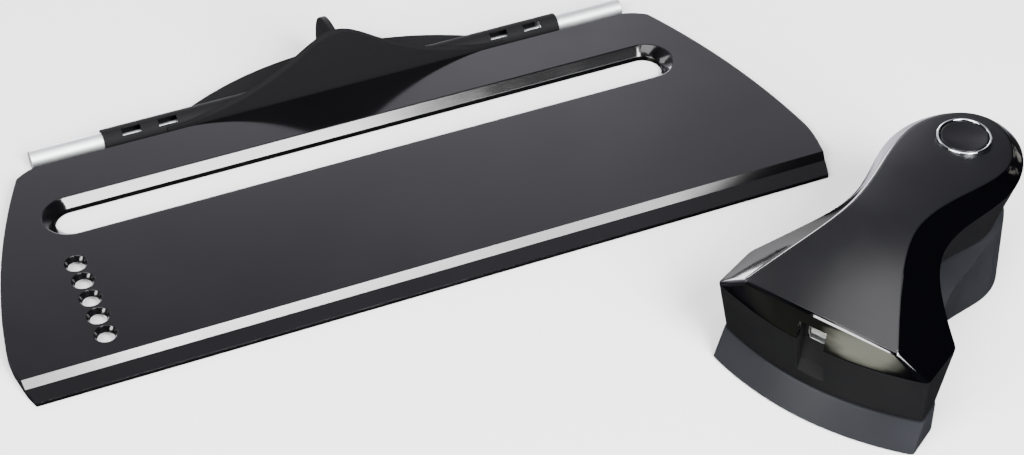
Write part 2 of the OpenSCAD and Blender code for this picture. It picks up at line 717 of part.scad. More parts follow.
module guide_grip() {
    shelf_y = grip_y + grip_t + shelf_d;
    fin_l = shelf_d - fin_back;
    fin_h = grip_h - fin_drop;
    color("#1d1d1f") difference() {
        union() {
            // upright wall with the bell-shaped edge
            translate([0, grip_y + grip_t, 0]) rotate([90, 0, 0]) linear_extrude(grip_t)
                polygon(concat([[-foot_x, barrel_open], [foot_x, barrel_open]],
                    [for (i = [28:-1:1]) bell_side()[i]], [for (p = bell_side()) [-p[0], p[1]]]));
            translate([0, 0, plate_h - shelf_t]) linear_extrude(shelf_t) intersection() {
                translate([0, shelf_y - shelf_r]) circle(shelf_r, $fn = 128);
                translate([-shelf_r, grip_y + grip_t/2]) square([2*shelf_r, shelf_d + grip_t]);
            }
            // fin from the wall's peak to the shelf
            translate([-fin_t/2, grip_y + grip_t, plate_h]) rotate([90, 0, 90]) linear_extrude(fin_t)
                polygon(concat([[-grip_t/2, -shelf_t/2], [fin_l, -shelf_t/2]],
                    [for (i = [0:14]) let (a = 90*i/14)
                        [fin_l*pow(cos(a), 2/fin_power), fin_h*pow(sin(a), 2/fin_power)]],
                    [[-grip_t/2, fin_h]]));
            translate([0, rod_y, rod_r]) rotate([0, 90, 0])
                cylinder(h = barrel_l, r = barrel_r, center = true);
            translate([-tongue_x, rear_y - tongue_d, barrel_open])
                cube([2*tongue_x, tongue_d + grip_gap + grip_t/2, tongue_h]);
        }
        translate([0, rod_y, rod_r]) rotate([0, 90, 0]) {
            cylinder(h = 2*bearing_in, r = rod_r + barrel_gap, center = true);
            cylinder(h = barrel_l + 1, r = rod_r - neck_depth + run_gap, center = true);
        }
        translate([-barrel_l, grip_y - grip_gap/2, -1]) cube([2*barrel_l, shelf_d, barrel_open + 1]);
        for (s = [-1, 1], i = [0, 1])
            translate([s*(window_x + i*window_pitch), rod_y, rod_r]) rotate([-window_tilt, 0, 0])
                translate([0, -barrel_r, 0])
                    cube([window_l, 2*(barrel_t + barrel_gap), window_h], center = true);
        for (x = grip_screw_xs) translate([x, grip_screw_y, barrel_open + screw_head_h])
            screw_hole(tongue_h, 1);
    }
}

module grip_screws() {
    color("#9a9c9f") for (x = grip_screw_xs)
        translate([x, grip_screw_y, barrel_open + screw_head_h]) screw(grip_screw_l);
}

module roller_rod() {
    land = bearing_l + 2*rod_play;
    roller_in = bearing_in - rod_play - rod_shoulder;
    roller_l = rod_l/2 - roller_in;
    color("#d9dadc") translate([0, rod_y, rod_r]) rotate([0, 90, 0]) difference() {
        union() {
            cylinder(h = rod_l - 2*rod_r, r = axle_r, center = true);
            for (s = [-1, 1]) translate([0, 0, s*(roller_in + roller_l/2)])
                cylinder(h = roller_l, r = rod_r, center = true);
        }
        for (s = [-1, 1]) translate([0, 0, s*(bearing_in + bearing_l/2)]) difference() {
            cylinder(h = land, r = rod_r + 1, center = true);
            cylinder(h = land + 1, r = rod_r - neck_depth, center = true);
        }
    }
}

module grip_strips() {
    color("#151515") for (y = strip_ys) translate([-strip_l/2, y - strip_w/2, 0])
        cube([strip_l, strip_w, strip_t]);
}

// Edge of the base's deck just outside the lower case
deck_edge = shrink(case_edge, -seat_gap, seat_gap);

module base_shell() {
    rings = [shrink(foot_edge, shell_t), foot_edge, crease_edge, deck_edge,
             shrink(deck_edge, shell_t, shell_t), shrink(crease_edge, shell_t, shell_t)];
    color("#43454a") at_head() difference() {
        union() {
            polyhedron(joined(rings), concat(strip(0, 1), strip(1, 2), strip(2, 3), lid(3),
                flipped(lid(4)), strip(4, 5), strip(5, 0)));
            for (p = base_bosses) translate([p[0], p[1], floor_top])
                cylinder(h = boss_height(p[1]), r = post_r);
        }
        translate([0, nose_v, 0]) cylinder(h = 60, r = deck_hole_r);
        for (p = base_bosses) translate([p[0], p[1], 0])
            cylinder(h = floor_top + screw_hold + 1, d = screw_bore);
    }
}

// Height from the floor plate to the middle of the deck above the distance v
function deck_z(v) = v < case_ear_v ? waist_h - seat_gap : case_end_h - seat_gap;
function boss_height(v) = deck_z(v) - shell_t/2 - floor_top;

module base_floor() {
    color("#2b2c2f") at_head() difference() {
        translate([0, 0, floor_z]) linear_extrude(floor_t)
            polygon(flat_ring(shrink(foot_edge, shell_t + floor_gap)));
        for (p = base_pads) translate([p[0], p[1], 0])
            cylinder(h = floor_z + pad_seat, r = pad_r + shell_gap);
        for (p = base_bosses) translate([p[0], p[1], floor_z + screw_head_h]) screw_hole(floor_t, 1);
    }
}

module base_screws() {
    color("#9a9c9f") at_head() for (p = base_bosses)
        translate([p[0], p[1], floor_z + screw_head_h]) screw(floor_t - screw_head_h + screw_hold);
}

module base_feet() {
    color("#18181a") at_head() for (p = base_pads) translate([p[0], p[1], 0])
        cylinder(h = floor_z + pad_seat, r = pad_r);
}

module tile_holder() {
    color("#1b1b1d") at_nose() difference() {
        translate([0, 0, floor_top]) cylinder(h = holder_h, r = tile_r + holder_wall);
        translate([0, 0, tile_seat]) cylinder(h = holder_h, r = tile_r + shell_gap);
    }
}

module calibration_tile() {
    color("#f4f4f0") at_nose() translate([0, 0, tile_seat]) cylinder(h = tile_t, r = tile_r);
}

// Space of the socket's recess with the thickness d round it
module recess_space(d) {
    translate([-recess_w/2 - d, 0, 0]) rotate([90, 0, 90]) linear_extrude(recess_w + 2*d)
        polygon([[-head_back, recess_low - d], [ramp_v + d, recess_low - d], [recess_v + d, ramp_h - d/2],
                 [recess_v + d, recess_top + d], [-head_back, recess_top + d]]);
}

// Space that the liner of the socket's recess takes in the tail
module recess_block(grow) {
    recess_space(liner_t + grow);
}

// The tail's outer form, filled
module head_solid() {
    polyhedron(joined([case_edge, band_edge, panel_edge]),
        concat(flipped(lid(0)), strip(0, 1), strip(1, 2), lid(2)));
}

module lower_case() {
    inner = shrink(band_edge, shell_t);
    rings = [case_edge, band_edge, inner, shrink(case_edge, shell_t, -shell_t)];
    color("#242426") at_head() difference() {
        union() {
            polyhedron(joined(rings), concat(flipped(lid(0)), strip(0, 1), strip(1, 2), strip(2, 3), lid(3)));
            for (s = [-1, 1]) {
                translate([s*post_u, post_v, waist_h + shell_t/2])
                    cylinder(h = post_top - waist_h - shell_t/2, r = post_r);
                for (v = board_post_vs) translate([s*board_post_u, v, waist_h + shell_t/2])
                    cylinder(h = board_h - waist_h - shell_t/2, r = post_r);
            }
            translate([0, neck_post_v, case_floor - shell_t/2]) cylinder(h = neck_post_h, r = post_r);
        }
        recess_block(shell_gap);
        translate([0, nose_v, 0]) cylinder(h = case_floor + 1, r = nose_r + shell_gap);
        for (s = [-1, 1]) {
            translate([s*post_u, post_v, waist_h + screw_head_h]) screw_hole(40, 4);
            for (v = board_post_vs) translate([s*board_post_u, v, board_h - screw_hold - 1])
                cylinder(h = screw_hold + 2, d = screw_bore);
        }
        translate([0, neck_post_v, case_end_h + screw_head_h]) screw_hole(20, 4);
    }
}

module gloss_surround() {
    top = shrink(panel_edge, -shell_gap);
    under = shell_t + shell_gap;
    rings = [shrink(band_edge, 0, -shell_gap), shrink(panel_edge, -rim_w - shell_gap, rim_w/2), top,
             shrink(top, 0, under), shrink(panel_edge, ledge_w, under),
             shrink(panel_edge, ledge_w, under + shell_t), shrink(band_edge, shell_t, -shell_gap)];
    color("#0b0b0d") at_head() difference() {
        polyhedron(joined(rings), concat(strip(0, 1), strip(1, 2), strip(2, 3), strip(3, 4), strip(4, 5),
            strip(5, 6), strip(6, 0)));
        recess_block(shell_gap);
    }
}

module top_panel() {
    n = len(panel_rows);
    rings = concat([for (s = panel_rows) panel_ring(s, 0)], [for (s = panel_rows) panel_ring(s, shell_t)]);
    neck_top = top_z(0, neck_post_v) - shell_t/2;
    tail_top = top_z(post_u, post_v) - shell_t/2 - 0.6;
    switch_post_top = top_z(switch_post_u, button_v) - shell_t/2;
    color("#3d3d41") at_head() difference() {
        union() {
            polyhedron(joined(rings), concat([for (i = [0:n - 2]) each strip(i, i + 1)], lid(n - 1),
                [for (i = [0:n - 2]) each flipped(strip(n + i, n + i + 1))],
                flipped(lid(2*n - 1)), strip(n, 0)));
            for (s = [-1, 1]) {
                translate([s*post_u, post_v, board_top + shell_gap])
                    cylinder(h = tail_top - board_top - shell_gap, r = post_r);
                translate([s*switch_post_u, button_v - switch_post_back, switch_board_top])
                    cylinder(h = switch_post_top - switch_board_top, r = switch_post_r);
            }
            translate([0, neck_post_v, neck_joint]) cylinder(h = neck_top - neck_joint, r = post_r);
        }
        translate([0, button_v, seat_z]) cylinder(h = 10, r = ring_r + shell_gap);
        translate([0, button_v, 0]) cylinder(h = 80, r = ring_r - ring_w/2 + shell_gap);
        for (s = [-1, 1]) translate([s*post_u, post_v, 0]) cylinder(h = tail_top - 1, d = screw_bore);
        translate([0, neck_post_v, 0]) cylinder(h = neck_top - 2, d = screw_bore);
    }
}

// Height at which the neck's two posts meet
neck_joint = case_floor - shell_t/2 + neck_post_h + shell_gap;

module case_screws() {
    color("#9a9c9f") at_head() {
        for (s = [-1, 1]) translate([s*post_u, post_v, waist_h + screw_head_h])
            screw(board_top - waist_h - screw_head_h + screw_hold);
        translate([0, neck_post_v, case_end_h + screw_head_h])
            screw(neck_joint - case_end_h - screw_head_h + screw_hold);
    }
}

module button_ring() {
    inside = ring_r - ring_w;
    mid = ring_r - ring_w/2;
    color("#d4d6d9") at_head() translate([0, button_v, 0]) rotate_extrude()
        polygon([[inside, retainer_z], [mid, retainer_z], [mid, seat_z], [ring_r, seat_z],
                 [ring_r, ring_top - ring_edge], [ring_r - ring_edge, ring_top],
                 [inside + ring_edge, ring_top], [inside, ring_top - ring_edge]]);
}

module button_cap() {
    flange_r = ring_r - ring_w/2;
    edge_z = ring_top - button_sunk;
    bowl_r = (button_r*button_r + dish*dish)/(2*dish);
    color("#2a2a2d") at_head() translate([0, button_v, 0]) difference() {
        union() {
            translate([0, 0, cap_low]) cylinder(h = cap_flange_t, r = flange_r);
            translate([0, 0, cap_low]) cylinder(h = edge_z - cap_low, r = button_r);
        }
        translate([0, 0, edge_z - dish + bowl_r]) sphere(bowl_r, $fn = 96);
    }
}

module switch_plunger() {
    low = switch_top - travel - 1;
    color("#c8c0a8") at_head() translate([0, button_v, low])
        cylinder(h = cap_low - low, r = plunger_r);
}

module switch_body() {
    color("#1a1a1a") at_head() translate([0, button_v, switch_board_top]) difference() {
        translate([-switch_w/2, -switch_w/2, 0]) cube([switch_w, switch_w, switch_h]);
        translate([0, 0, 1]) cylinder(h = switch_h, r = plunger_r + run_gap);
    }
}

module switch_board() {
    edge = switch_post_r + 1;
    place = [-switch_post_u - edge, button_v - switch_post_back - edge, switch_board_top - board_t];
    color("#1f5a35") at_head() translate(place)
        cube([2*(switch_post_u + edge), switch_post_back + edge + switch_w/2, board_t]);
}

module recess_liner() {
    color("#1c1c1d") at_head() intersection() {
        head_solid();
        difference() {
            recess_block(0);
            recess_space(0);
            translate([-socket_w/2 - shell_gap, recess_v - 2, socket_z - socket_h/2 - shell_gap])
                cube([socket_w + 2*shell_gap, 10, socket_h + 2*shell_gap]);
        }
    }
}

module usb_shell() {
    place = [-socket_w/2, recess_v - socket_out, socket_z - socket_h/2];
    color("#c9ccd0") at_head() translate(place) difference() {
        cube([socket_w, socket_l, socket_h]);
        translate([socket_t, -1, socket_t])
            cube([socket_w - 2*socket_t, socket_l + 1 - 2*socket_t, socket_h - 2*socket_t]);
    }
}

module usb_tongue() {
    place = [-socket_w/2 + tongue_gap + socket_t, recess_v - socket_out + tongue_gap, socket_z - tongue_low];
    color("#8d8d88") at_head() translate(place)
        cube([socket_w - 2*(tongue_gap + socket_t), socket_l - tongue_gap - 2*socket_t,
              socket_h/2 + tongue_low - socket_t - tongue_gap]);
}

module main_board() {
    color("#1f5a35") at_head() difference() {
        translate([-board_w, board_v, board_h]) cube([2*board_w, board_l, board_t]);
        for (s = [-1, 1]) {
            translate([s*post_u, post_v, 0]) cylinder(h = 60, d = screw_bore);
            for (v = board_post_vs) translate([s*board_post_u, v, 0]) cylinder(h = 60, d = screw_bore);
        }
    }
}

module board_chips() {
    color("#161616") at_head() translate([0, 0, board_top]) {
        translate([package_gap, package_v, 0]) cube([processor_w, processor_w, package_h]);
        translate([-package_gap - memory_w, package_v, 0]) cube([memory_w, memory_d, package_h]);
        translate([-clock_w/2, package_v + 1, 0]) cube([clock_w, memory_d, package_h]);
    }
}

module board_screws() {
    color("#9a9c9f") at_head() for (s = [-1, 1], v = board_post_vs)
        translate([s*board_post_u, v, board_top]) mirror([0, 0, 1]) screw(board_t + screw_hold);
}

// Flat cable from the main board along the neck to the board above the nose
module flat_cable() {
    start_v = board_v + board_l - 3;
    end_v = nose_v - nose_r + 3;
    end_z = nose_top + board_t;
    path = [[start_v, board_top], [start_v + cable_flat, board_top],
            [neck_post_v - cable_hump_v, end_z + cable_hump], [end_v - cable_flat, end_z], [end_v, end_z]];
    n = len(path);
    color("#d8cfae") at_head() translate([-cable_w - post_r, 0, 0]) rotate([90, 0, 90])
        linear_extrude(cable_w) polygon(concat(path, [for (i = [n - 1:-1:0]) path[i] + [0, cable_t]]));
}

module nose_barrel() {
    low = nose_low + foot_h_total;
    color("#1b1b1d") at_nose() difference() {
        union() {
            translate([0, 0, low]) cylinder(h = nose_top - low, r = nose_r);
            translate([0, 0, case_floor]) cylinder(h = nose_flange_t, r = nose_r + 2.5);
        }
        translate([0, 0, lamp_z]) cylinder(h = nose_top, r = nose_in);
        translate([0, 0, lens_z]) cylinder(h = lamp_z, r = nose_in - lamp_ledge);
        translate([0, 0, low - 1]) cylinder(h = lens_z - low, r = nose_in - lamp_ledge);
        cylinder(h = nose_top, r = lens_r - 0.8);
    }
}

// Foot with the aperture: a short pilot for the slot, the flare above it and a spigot
module nose_foot() {
    pilot = 2.4;
    color("#202022") at_nose() difference() {
        translate([0, 0, nose_low]) {
            cylinder(h = pilot, r = nose_foot_r);
            translate([0, 0, pilot]) cylinder(h = flare, r1 = nose_foot_r, r2 = nose_foot_r + flare);
            translate([0, 0, foot_h_total - 1]) cylinder(h = 1, r = nose_r);
            translate([0, 0, foot_h_total - 1]) cylinder(h = 3, r = nose_in - lamp_ledge - shell_gap);
        }
        cylinder(h = 60, r = aperture_r);
    }
}

module lens() {
    bowl = 12;
    color("#cfe3ea") at_nose() translate([0, 0, lens_z]) intersection() {
        cylinder(h = lens_t, r = lens_r);
        translate([0, 0, lens_t - bowl]) sphere(bowl, $fn = 96);
    }
}

module lamp_board() {
    color("#e8e8e2") at_nose() translate([0, 0, lamp_z]) difference() {
        cylinder(h = board_t, r = nose_in - shell_gap);
        translate([0, 0, -1]) cylinder(h = board_t + 2, r = lens_r);
    }
}

module lamps_set() {
    color("#f3efc8") at_nose() for (i = [0:lamps - 1]) rotate(360*i/lamps)
        translate([lamp_ring_r - lamp_size[0]/2, -lamp_size[1]/2, lamp_z - lamp_size[2]]) cube(lamp_size);
}

module sensor_board() {
    color("#1f5a35") at_nose() translate([0, 0, nose_top]) cylinder(h = board_t, r = nose_r);
}

module sensor_chip() {
    color("#161616") at_nose() translate([-chip_size[0]/2, -chip_size[1]/2, nose_top - chip_size[2]])
        cube(chip_size);
}

guide_plate();
guide_grip();
grip_screws();
roller_rod();
grip_strips();
base_shell();
base_floor();
base_screws();
base_feet();
tile_holder();
calibration_tile();
lower_case();
gloss_surround();
top_panel();
case_screws();
button_ring();
button_cap();
switch_plunger();
switch_body();
switch_board();
recess_liner();
usb_shell();
usb_tongue();
main_board();
board_chips();
board_screws();
flat_cable();
nose_barrel();
nose_foot();
lens();
lamp_board();
lamps_set();
sensor_board();
sensor_chip();
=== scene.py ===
"""Strip-reading printer calibrator: slotted guide with its roller, and measuring head on its base."""
import json
import math

import bmesh
import bpy
from mathutils import Matrix, Vector


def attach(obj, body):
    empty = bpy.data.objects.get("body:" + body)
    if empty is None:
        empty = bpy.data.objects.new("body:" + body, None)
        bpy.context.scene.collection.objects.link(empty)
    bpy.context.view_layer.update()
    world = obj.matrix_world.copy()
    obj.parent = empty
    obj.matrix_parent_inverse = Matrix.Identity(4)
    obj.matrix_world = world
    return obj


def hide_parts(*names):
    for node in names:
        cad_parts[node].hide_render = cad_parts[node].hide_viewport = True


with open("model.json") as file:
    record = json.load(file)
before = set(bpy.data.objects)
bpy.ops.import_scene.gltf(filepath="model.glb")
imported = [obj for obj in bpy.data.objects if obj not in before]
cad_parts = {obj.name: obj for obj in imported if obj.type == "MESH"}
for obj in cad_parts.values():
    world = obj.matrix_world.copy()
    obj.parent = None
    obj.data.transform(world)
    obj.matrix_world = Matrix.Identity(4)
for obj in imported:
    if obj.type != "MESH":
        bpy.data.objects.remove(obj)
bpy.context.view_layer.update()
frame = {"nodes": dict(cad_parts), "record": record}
nodes = frame["nodes"]
MM = 0.001

# The head's own frame: u across its tail, v from tail to round end, z up, in millimetres
HEAD_PLACE = (Matrix.Translation((98.8 * MM, -172.3 * MM, 0))
              @ Matrix.Rotation(math.radians(-59.2), 4, "Z"))
# Steps along each stretch of an edge round the head, from the middle of the tail to the tip
REAR_STEPS, CUT_STEPS, EAR_STEPS, NECK_STEPS, END_STEPS, TIP_STEPS = 40, 3, 14, 44, 34, 44
# Share of a corner's cut that is taken along the tail
TAIL_SHARE = 0.88
# Wall of head and base, gap at a seam, ledge under the panel, play between head and base
SHELL, SEAM, LEDGE, SEAT = 2.2, 0.1, 1.5, 0.4
# Radius of the crown across the head's top
CROWN_R = 110
# Button ring: outer radius, thickness, height over the panel, depth of its seat, reach of its sleeve
RING_R, RING_W, RING_H, RING_SEAT, SLEEVE = 10.5, 1.1, 2.1, 1.2, 1.2
# Steps round a turned form and round a drilled hole
TURN_STEPS, HOLE_STEPS = 128, 96
# Points closer than this are one
WELD = 0.001 * MM
# Edges sharper than this are rolled, in so many steps
SHARP_DEGREES, ROLL_STEPS = 20, 4
# Where the button and the measuring nose lie along v
BUTTON_V, NOSE_V = 101, 87
# Screw wells of the lower case: u, v and the height where the case begins
SCREW_WELLS = ((18, 8, 12.5), (-18, 8, 12.5), (0, 60, 34))
# Height of the data socket's middle
SOCKET_Z = 36.6
# The plate's reading slot: its middle line, the middle of its round ends, radius and height of its flare
SLOT_Y, SLOT_END_X, FLARE_R, FLARE_Z = 28.5, 124.65, 11.35, 5.9
# How much further the flare runs out at its ends than the cone of the source
FLARE_RUN_OUT = 1.4
# The column of row holes
ROW_HOLE_X = -131.7
# The plate's edges below this height belong to its underside
UNDERSIDE = 1.4
# Front profile of the plate: place in the source, then how far the looks move it along Y and up
FRONT_SHIFTS = ((-62.5, -0.6, 0.6), (-54.5, -1.3, 0.7), (-52.2, -1.0, 0))
# The plate's ends, beyond this X, are drawn in from this Y forwards: run along Y and full measure
ENDS_X, ENDS_Y, ENDS_RUN, ENDS_IN = 150, -36, 16, 1.2
# The roller's axis
ROD_Y, ROD_Z = 69.5, 4
# Windows of the roller's barrel: places along X, lean in degrees, height over the axis, size
WINDOW_XS = (-89.5, -74, 74, 89.5)
WINDOW_LEAN, WINDOW_UP, WINDOW_SIZE = 27, 5, (8, 3.3, 4)


def linear(hex_colour):
    """An sRGB hex colour as linear RGBA."""
    parts = [int(hex_colour[i:i + 2], 16) / 255 for i in (1, 3, 5)]
    return [c / 12.92 if c <= 0.04045 else ((c + 0.055) / 1.055) ** 2.4 for c in parts] + [1]


def add(tree, kind, inputs, **settings):
    """Adds a node; an input is linked where it is a socket and set where it is a value."""
    made = tree.nodes.new(kind)
    for name, value in settings.items():
        setattr(made, name, value)
    for name, value in inputs.items():
        if isinstance(value, bpy.types.NodeSocket):
            tree.links.new(value, made.inputs[name])
        else:
            made.inputs[name].default_value = value
    return made


def finish(name, hex_colour, **sockets):
    """A new material: its tree, its shader with the given sockets set, and the place on the piece."""
    material = bpy.data.materials.new(name)
    material.use_nodes = True
    tree = material.node_tree
    shader = tree.nodes["Principled BSDF"]
    shader.inputs["Base Color"].default_value = linear(hex_colour)
    for socket, value in sockets.items():
        shader.inputs[socket.replace("_", " ")].default_value = value
    place = add(tree, "ShaderNodeTexCoord", {}).outputs["Object"]
    return material, tree, shader, place


def noise(tree, place, size, **sockets):
    """Noise with lumps of the given size in millimetres."""
    inputs = {"Vector": place, "Scale": 1 / (size * MM), **sockets}
    return add(tree, "ShaderNodeTexNoise", inputs).outputs[0]


def raised(tree, shader, height, strength, depth):
    """Lets a pattern stand up from the surface by the given depth in millimetres."""
    bump = add(tree, "ShaderNodeBump", {"Height": height, "Strength": strength, "Distance": depth * MM})
    tree.links.new(bump.outputs["Normal"], shader.inputs["Normal"])


def grain(tree, shader, place, size, depth, strength):
    """Raised grain, in millimetres; it is drawn coarser than real mould grain so that it shows."""
    raised(tree, shader, noise(tree, place, size, Detail=2, Roughness=0.6), strength, depth)


def patchy(tree, shader, place, socket, size, low, high):
    """Lets a socket drift between two values over patches of the given size in millimetres."""
    patches = noise(tree, place, size, Detail=4, Roughness=0.55)
    spread = add(tree, "ShaderNodeMapRange", {"Value": patches, "From Min": 0.3, "From Max": 0.7,
                                              "To Min": low, "To Max": high})
    tree.links.new(spread.outputs[0], shader.inputs[socket])


def tinted(tree, shader, place, size, hex_low, hex_high):
    """Lets the colour drift between two near shades over patches of the given size in millimetres."""
    ramp = add(tree, "ShaderNodeValToRGB", {"Fac": noise(tree, place, size, Detail=3)})
    ramp.color_ramp.elements[0].position = 0.35
    ramp.color_ramp.elements[0].color = linear(hex_low)
    ramp.color_ramp.elements[1].position = 0.65
    ramp.color_ramp.elements[1].color = linear(hex_high)
    tree.links.new(ramp.outputs["Color"], shader.inputs["Base Color"])


def polished_abs():
    """Black ABS from a polished mould: dark mirror with a faint haze that varies from handling."""
    material, tree, shader, place = finish("polished_mould_abs_black", "#050506", IOR=1.5)
    patchy(tree, shader, place, "Roughness", 45, 0.1, 0.16)
    tinted(tree, shader, place, 60, "#040405", "#070708")
    # The mould's real ripple is under 0.1 mm; it is drawn at 1.5 mm so that it shows
    grain(tree, shader, place, 1.5, 0.004, 0.06)
    return material


def matt_abs():
    """Black ABS from a spark-eroded mould: even matt with a fine sparkle where light grazes it."""
    material, tree, shader, place = finish("spark_eroded_abs_black", "#131314", IOR=1.45,
                                           Specular_IOR_Level=0.08)
    patchy(tree, shader, place, "Roughness", 20, 0.58, 0.66)
    grain(tree, shader, place, 0.6, 0.03, 0.35)
    return material


def case_abs():
    """Dark grey ABS of the lower case, matt from a textured mould."""
    material, tree, shader, place = finish("textured_abs_dark_grey", "#111112", IOR=1.45,
                                           Specular_IOR_Level=0.13)
    patchy(tree, shader, place, "Roughness", 18, 0.44, 0.54)
    tinted(tree, shader, place, 30, "#101011", "#131314")
    grain(tree, shader, place, 0.6, 0.03, 0.35)
    return material


def base_abs():
    """Blue-grey ABS of the base, satin from a lightly blasted mould."""
    material, tree, shader, place = finish("blasted_abs_blue_grey", "#1c1d20", IOR=1.45,
                                           Specular_IOR_Level=0.12)
    patchy(tree, shader, place, "Roughness", 22, 0.34, 0.42)
    tinted(tree, shader, place, 35, "#1a1b1e", "#1f2023")
    grain(tree, shader, place, 0.6, 0.02, 0.25)
    return material


def piano_black():
    """Black ABS from a mirror-polished mould: deep black that only shows what it reflects."""
    material, tree, shader, place = finish("polished_abs_piano_black", "#020203", IOR=1.47)
    patchy(tree, shader, place, "Roughness", 30, 0.03, 0.07)
    return material


def soft_touch():
    """Dark grey soft-touch lacquer: velvety, with a broad dull sheen and no clear reflection."""
    material, tree, shader, place = finish("soft_touch_lacquer_dark_grey", "#0c0c0e", IOR=1.42,
                                           Specular_IOR_Level=0.36)
    patchy(tree, shader, place, "Roughness", 25, 0.3, 0.36)
    tinted(tree, shader, place, 40, "#0b0b0d", "#0f0f11")
    grain(tree, shader, place, 0.5, 0.015, 0.2)
    return material


def button_plastic():
    """Black button cap, finely polished so that its dish gathers the light."""
    material, tree, shader, place = finish("moulded_pc_button_black", "#08080a", IOR=1.42)
    patchy(tree, shader, place, "Roughness", 8, 0.2, 0.28)
    grain(tree, shader, place, 0.5, 0.01, 0.1)
    return material


def chrome():
    """Chrome plate on moulded ABS: hard mirror with a slight ripple from the part under it."""
    material, tree, shader, place = finish("chrome_plate", "#dcdee2", Metallic=1, Roughness=0.06)
    grain(tree, shader, place, 3, 0.02, 0.1)
    return material


def turned_aluminium():
    """Clear-anodised aluminium bar: bright satin with fine rings left by turning."""
    material, tree, shader, place = finish("turned_aluminium", "#e6e8ea", Metallic=1)
    patchy(tree, shader, place, "Roughness", 12, 0.46, 0.56)
    # Tool marks are about 0.1 mm apart on the bar; they are drawn 1.6 mm apart so that they show.
    # The texture lays about 3.2 waves along this length, in millimetres.
    length = 5.04
    rings = add(tree, "ShaderNodeTexWave", {"Vector": place, "Scale": 1 / (length * MM),
                                            "Distortion": 0.6, "Detail": 1}, bands_direction="X")
    raised(tree, shader, rings.outputs[1], 0.12, 0.02)
    return material


def tinned_steel():
    """Tin-plated sheet of the data socket: grey satin metal with faint rolling lines."""
    material, tree, shader, place = finish("tinned_sheet_steel", "#b0b2b5", Metallic=1)
    patchy(tree, shader, place, "Roughness", 1.5, 0.3, 0.42)
    return material


def insulator_pbt():
    """Pale grey PBT of the socket's insulator, satin from the mould."""
    material, tree, shader, place = finish("moulded_pbt_pale_grey", "#7c7c78", IOR=1.55)
    patchy(tree, shader, place, "Roughness", 1.5, 0.35, 0.5)
    tinted(tree, shader, place, 2, "#767672", "#82827e")
    return material


def zinc_steel():
    """Zinc-plated screw steel, dull grey with a mottled bloom."""
    material, tree, shader, place = finish("zinc_plated_steel", "#a8abae", Metallic=1)
    patchy(tree, shader, place, "Roughness", 1, 0.3, 0.5)
    return material


def rubber():
    """Moulded rubber of strips and feet: dead matt with dust in its pores."""
    material, tree, shader, place = finish("moulded_rubber_black", "#141414", IOR=1.52)
    patchy(tree, shader, place, "Roughness", 6, 0.75, 0.9)
    tinted(tree, shader, place, 4, "#111111", "#1b1b1a")
    grain(tree, shader, place, 0.5, 0.05, 0.5)
    return material


def inner_abs():
    """Plain black ABS of inner pieces, matt and a little uneven."""
    material, tree, shader, place = finish("plain_abs_black", "#121213", IOR=1.5)
    patchy(tree, shader, place, "Roughness", 10, 0.45, 0.6)
    grain(tree, shader, place, 0.5, 0.02, 0.3)
    return material


def glazed_tile():
    """White glazed ceramic of the reference tile: even white under a thin clear glaze."""
    material, tree, shader, place = finish("glazed_ceramic_white", "#f2f1ec", IOR=1.55, Coat_Weight=0.5)
    patchy(tree, shader, place, "Roughness", 5, 0.12, 0.2)
    tinted(tree, shader, place, 6, "#efeee8", "#f5f4f0")
    return material


def solder_mask(name, hex_low, hex_high):
    """Circuit board under its lacquer: glossy, with the copper's pattern as a faint change of shade."""
    material, tree, shader, place = finish(name, hex_low, IOR=1.5)
    patchy(tree, shader, place, "Roughness", 3, 0.25, 0.4)
    tinted(tree, shader, place, 2, hex_low, hex_high)
    return material


def chip_epoxy():
    """Moulded epoxy of the packages on the boards: matt grey-black."""
    material, tree, shader, place = finish("moulded_epoxy", "#1a1a1b", IOR=1.55)
    patchy(tree, shader, place, "Roughness", 2, 0.5, 0.65)
    grain(tree, shader, place, 0.2, 0.01, 0.3)
    return material


def polyester_film():
    """Polyester film of cable and plunger: cream, slightly clear and glossy."""
    material, tree, shader, place = finish("polyester_film_cream", "#d9cfab", IOR=1.57)
    patchy(tree, shader, place, "Roughness", 4, 0.25, 0.4)
    tinted(tree, shader, place, 5, "#d3c8a2", "#ded5b4")
    return material


def lens_glass():
    """Clear optical glass, polished."""
    material, tree, shader, place = finish("optical_glass", "#eaf4f6", IOR=1.52, Transmission_Weight=1)
    patchy(tree, shader, place, "Roughness", 3, 0.0, 0.02)
    return material


def lamp_resin():
    """Lamp resin over yellow phosphor: glossy and warm."""
    material, tree, shader, place = finish("phosphor_resin_yellow", "#efe08a", IOR=1.5)
    patchy(tree, shader, place, "Roughness", 1, 0.15, 0.3)
    return material


MATERIALS = {
    "guide_black": polished_abs(),
    "grip_black": matt_abs(),
    "screw_steel": zinc_steel(),
    "rod_aluminium": turned_aluminium(),
    "rubber_black": rubber(),
    "base_grey": base_abs(),
    "inner_black": inner_abs(),
    "tile_white": glazed_tile(),
    "case_black": case_abs(),
    "surround_gloss": piano_black(),
    "panel_soft": soft_touch(),
    "ring_chrome": chrome(),
    "button_black": button_plastic(),
    "board_green": solder_mask("solder_mask_green", "#124a2a", "#1a6238"),
    "board_white": solder_mask("solder_mask_white", "#e2e2da", "#ecece6"),
    "chip_black": chip_epoxy(),
    "socket_steel": tinned_steel(),
    "socket_grey": insulator_pbt(),
    "cable_tan": polyester_film(),
    "lens_glass": lens_glass(),
    "lamp_yellow": lamp_resin(),
}

for part in frame["record"]["subparts"]:
    cad = nodes[part["node"]]
    cad.data.materials.clear()
    cad.data.materials.append(MATERIALS[part["material_slot"]])


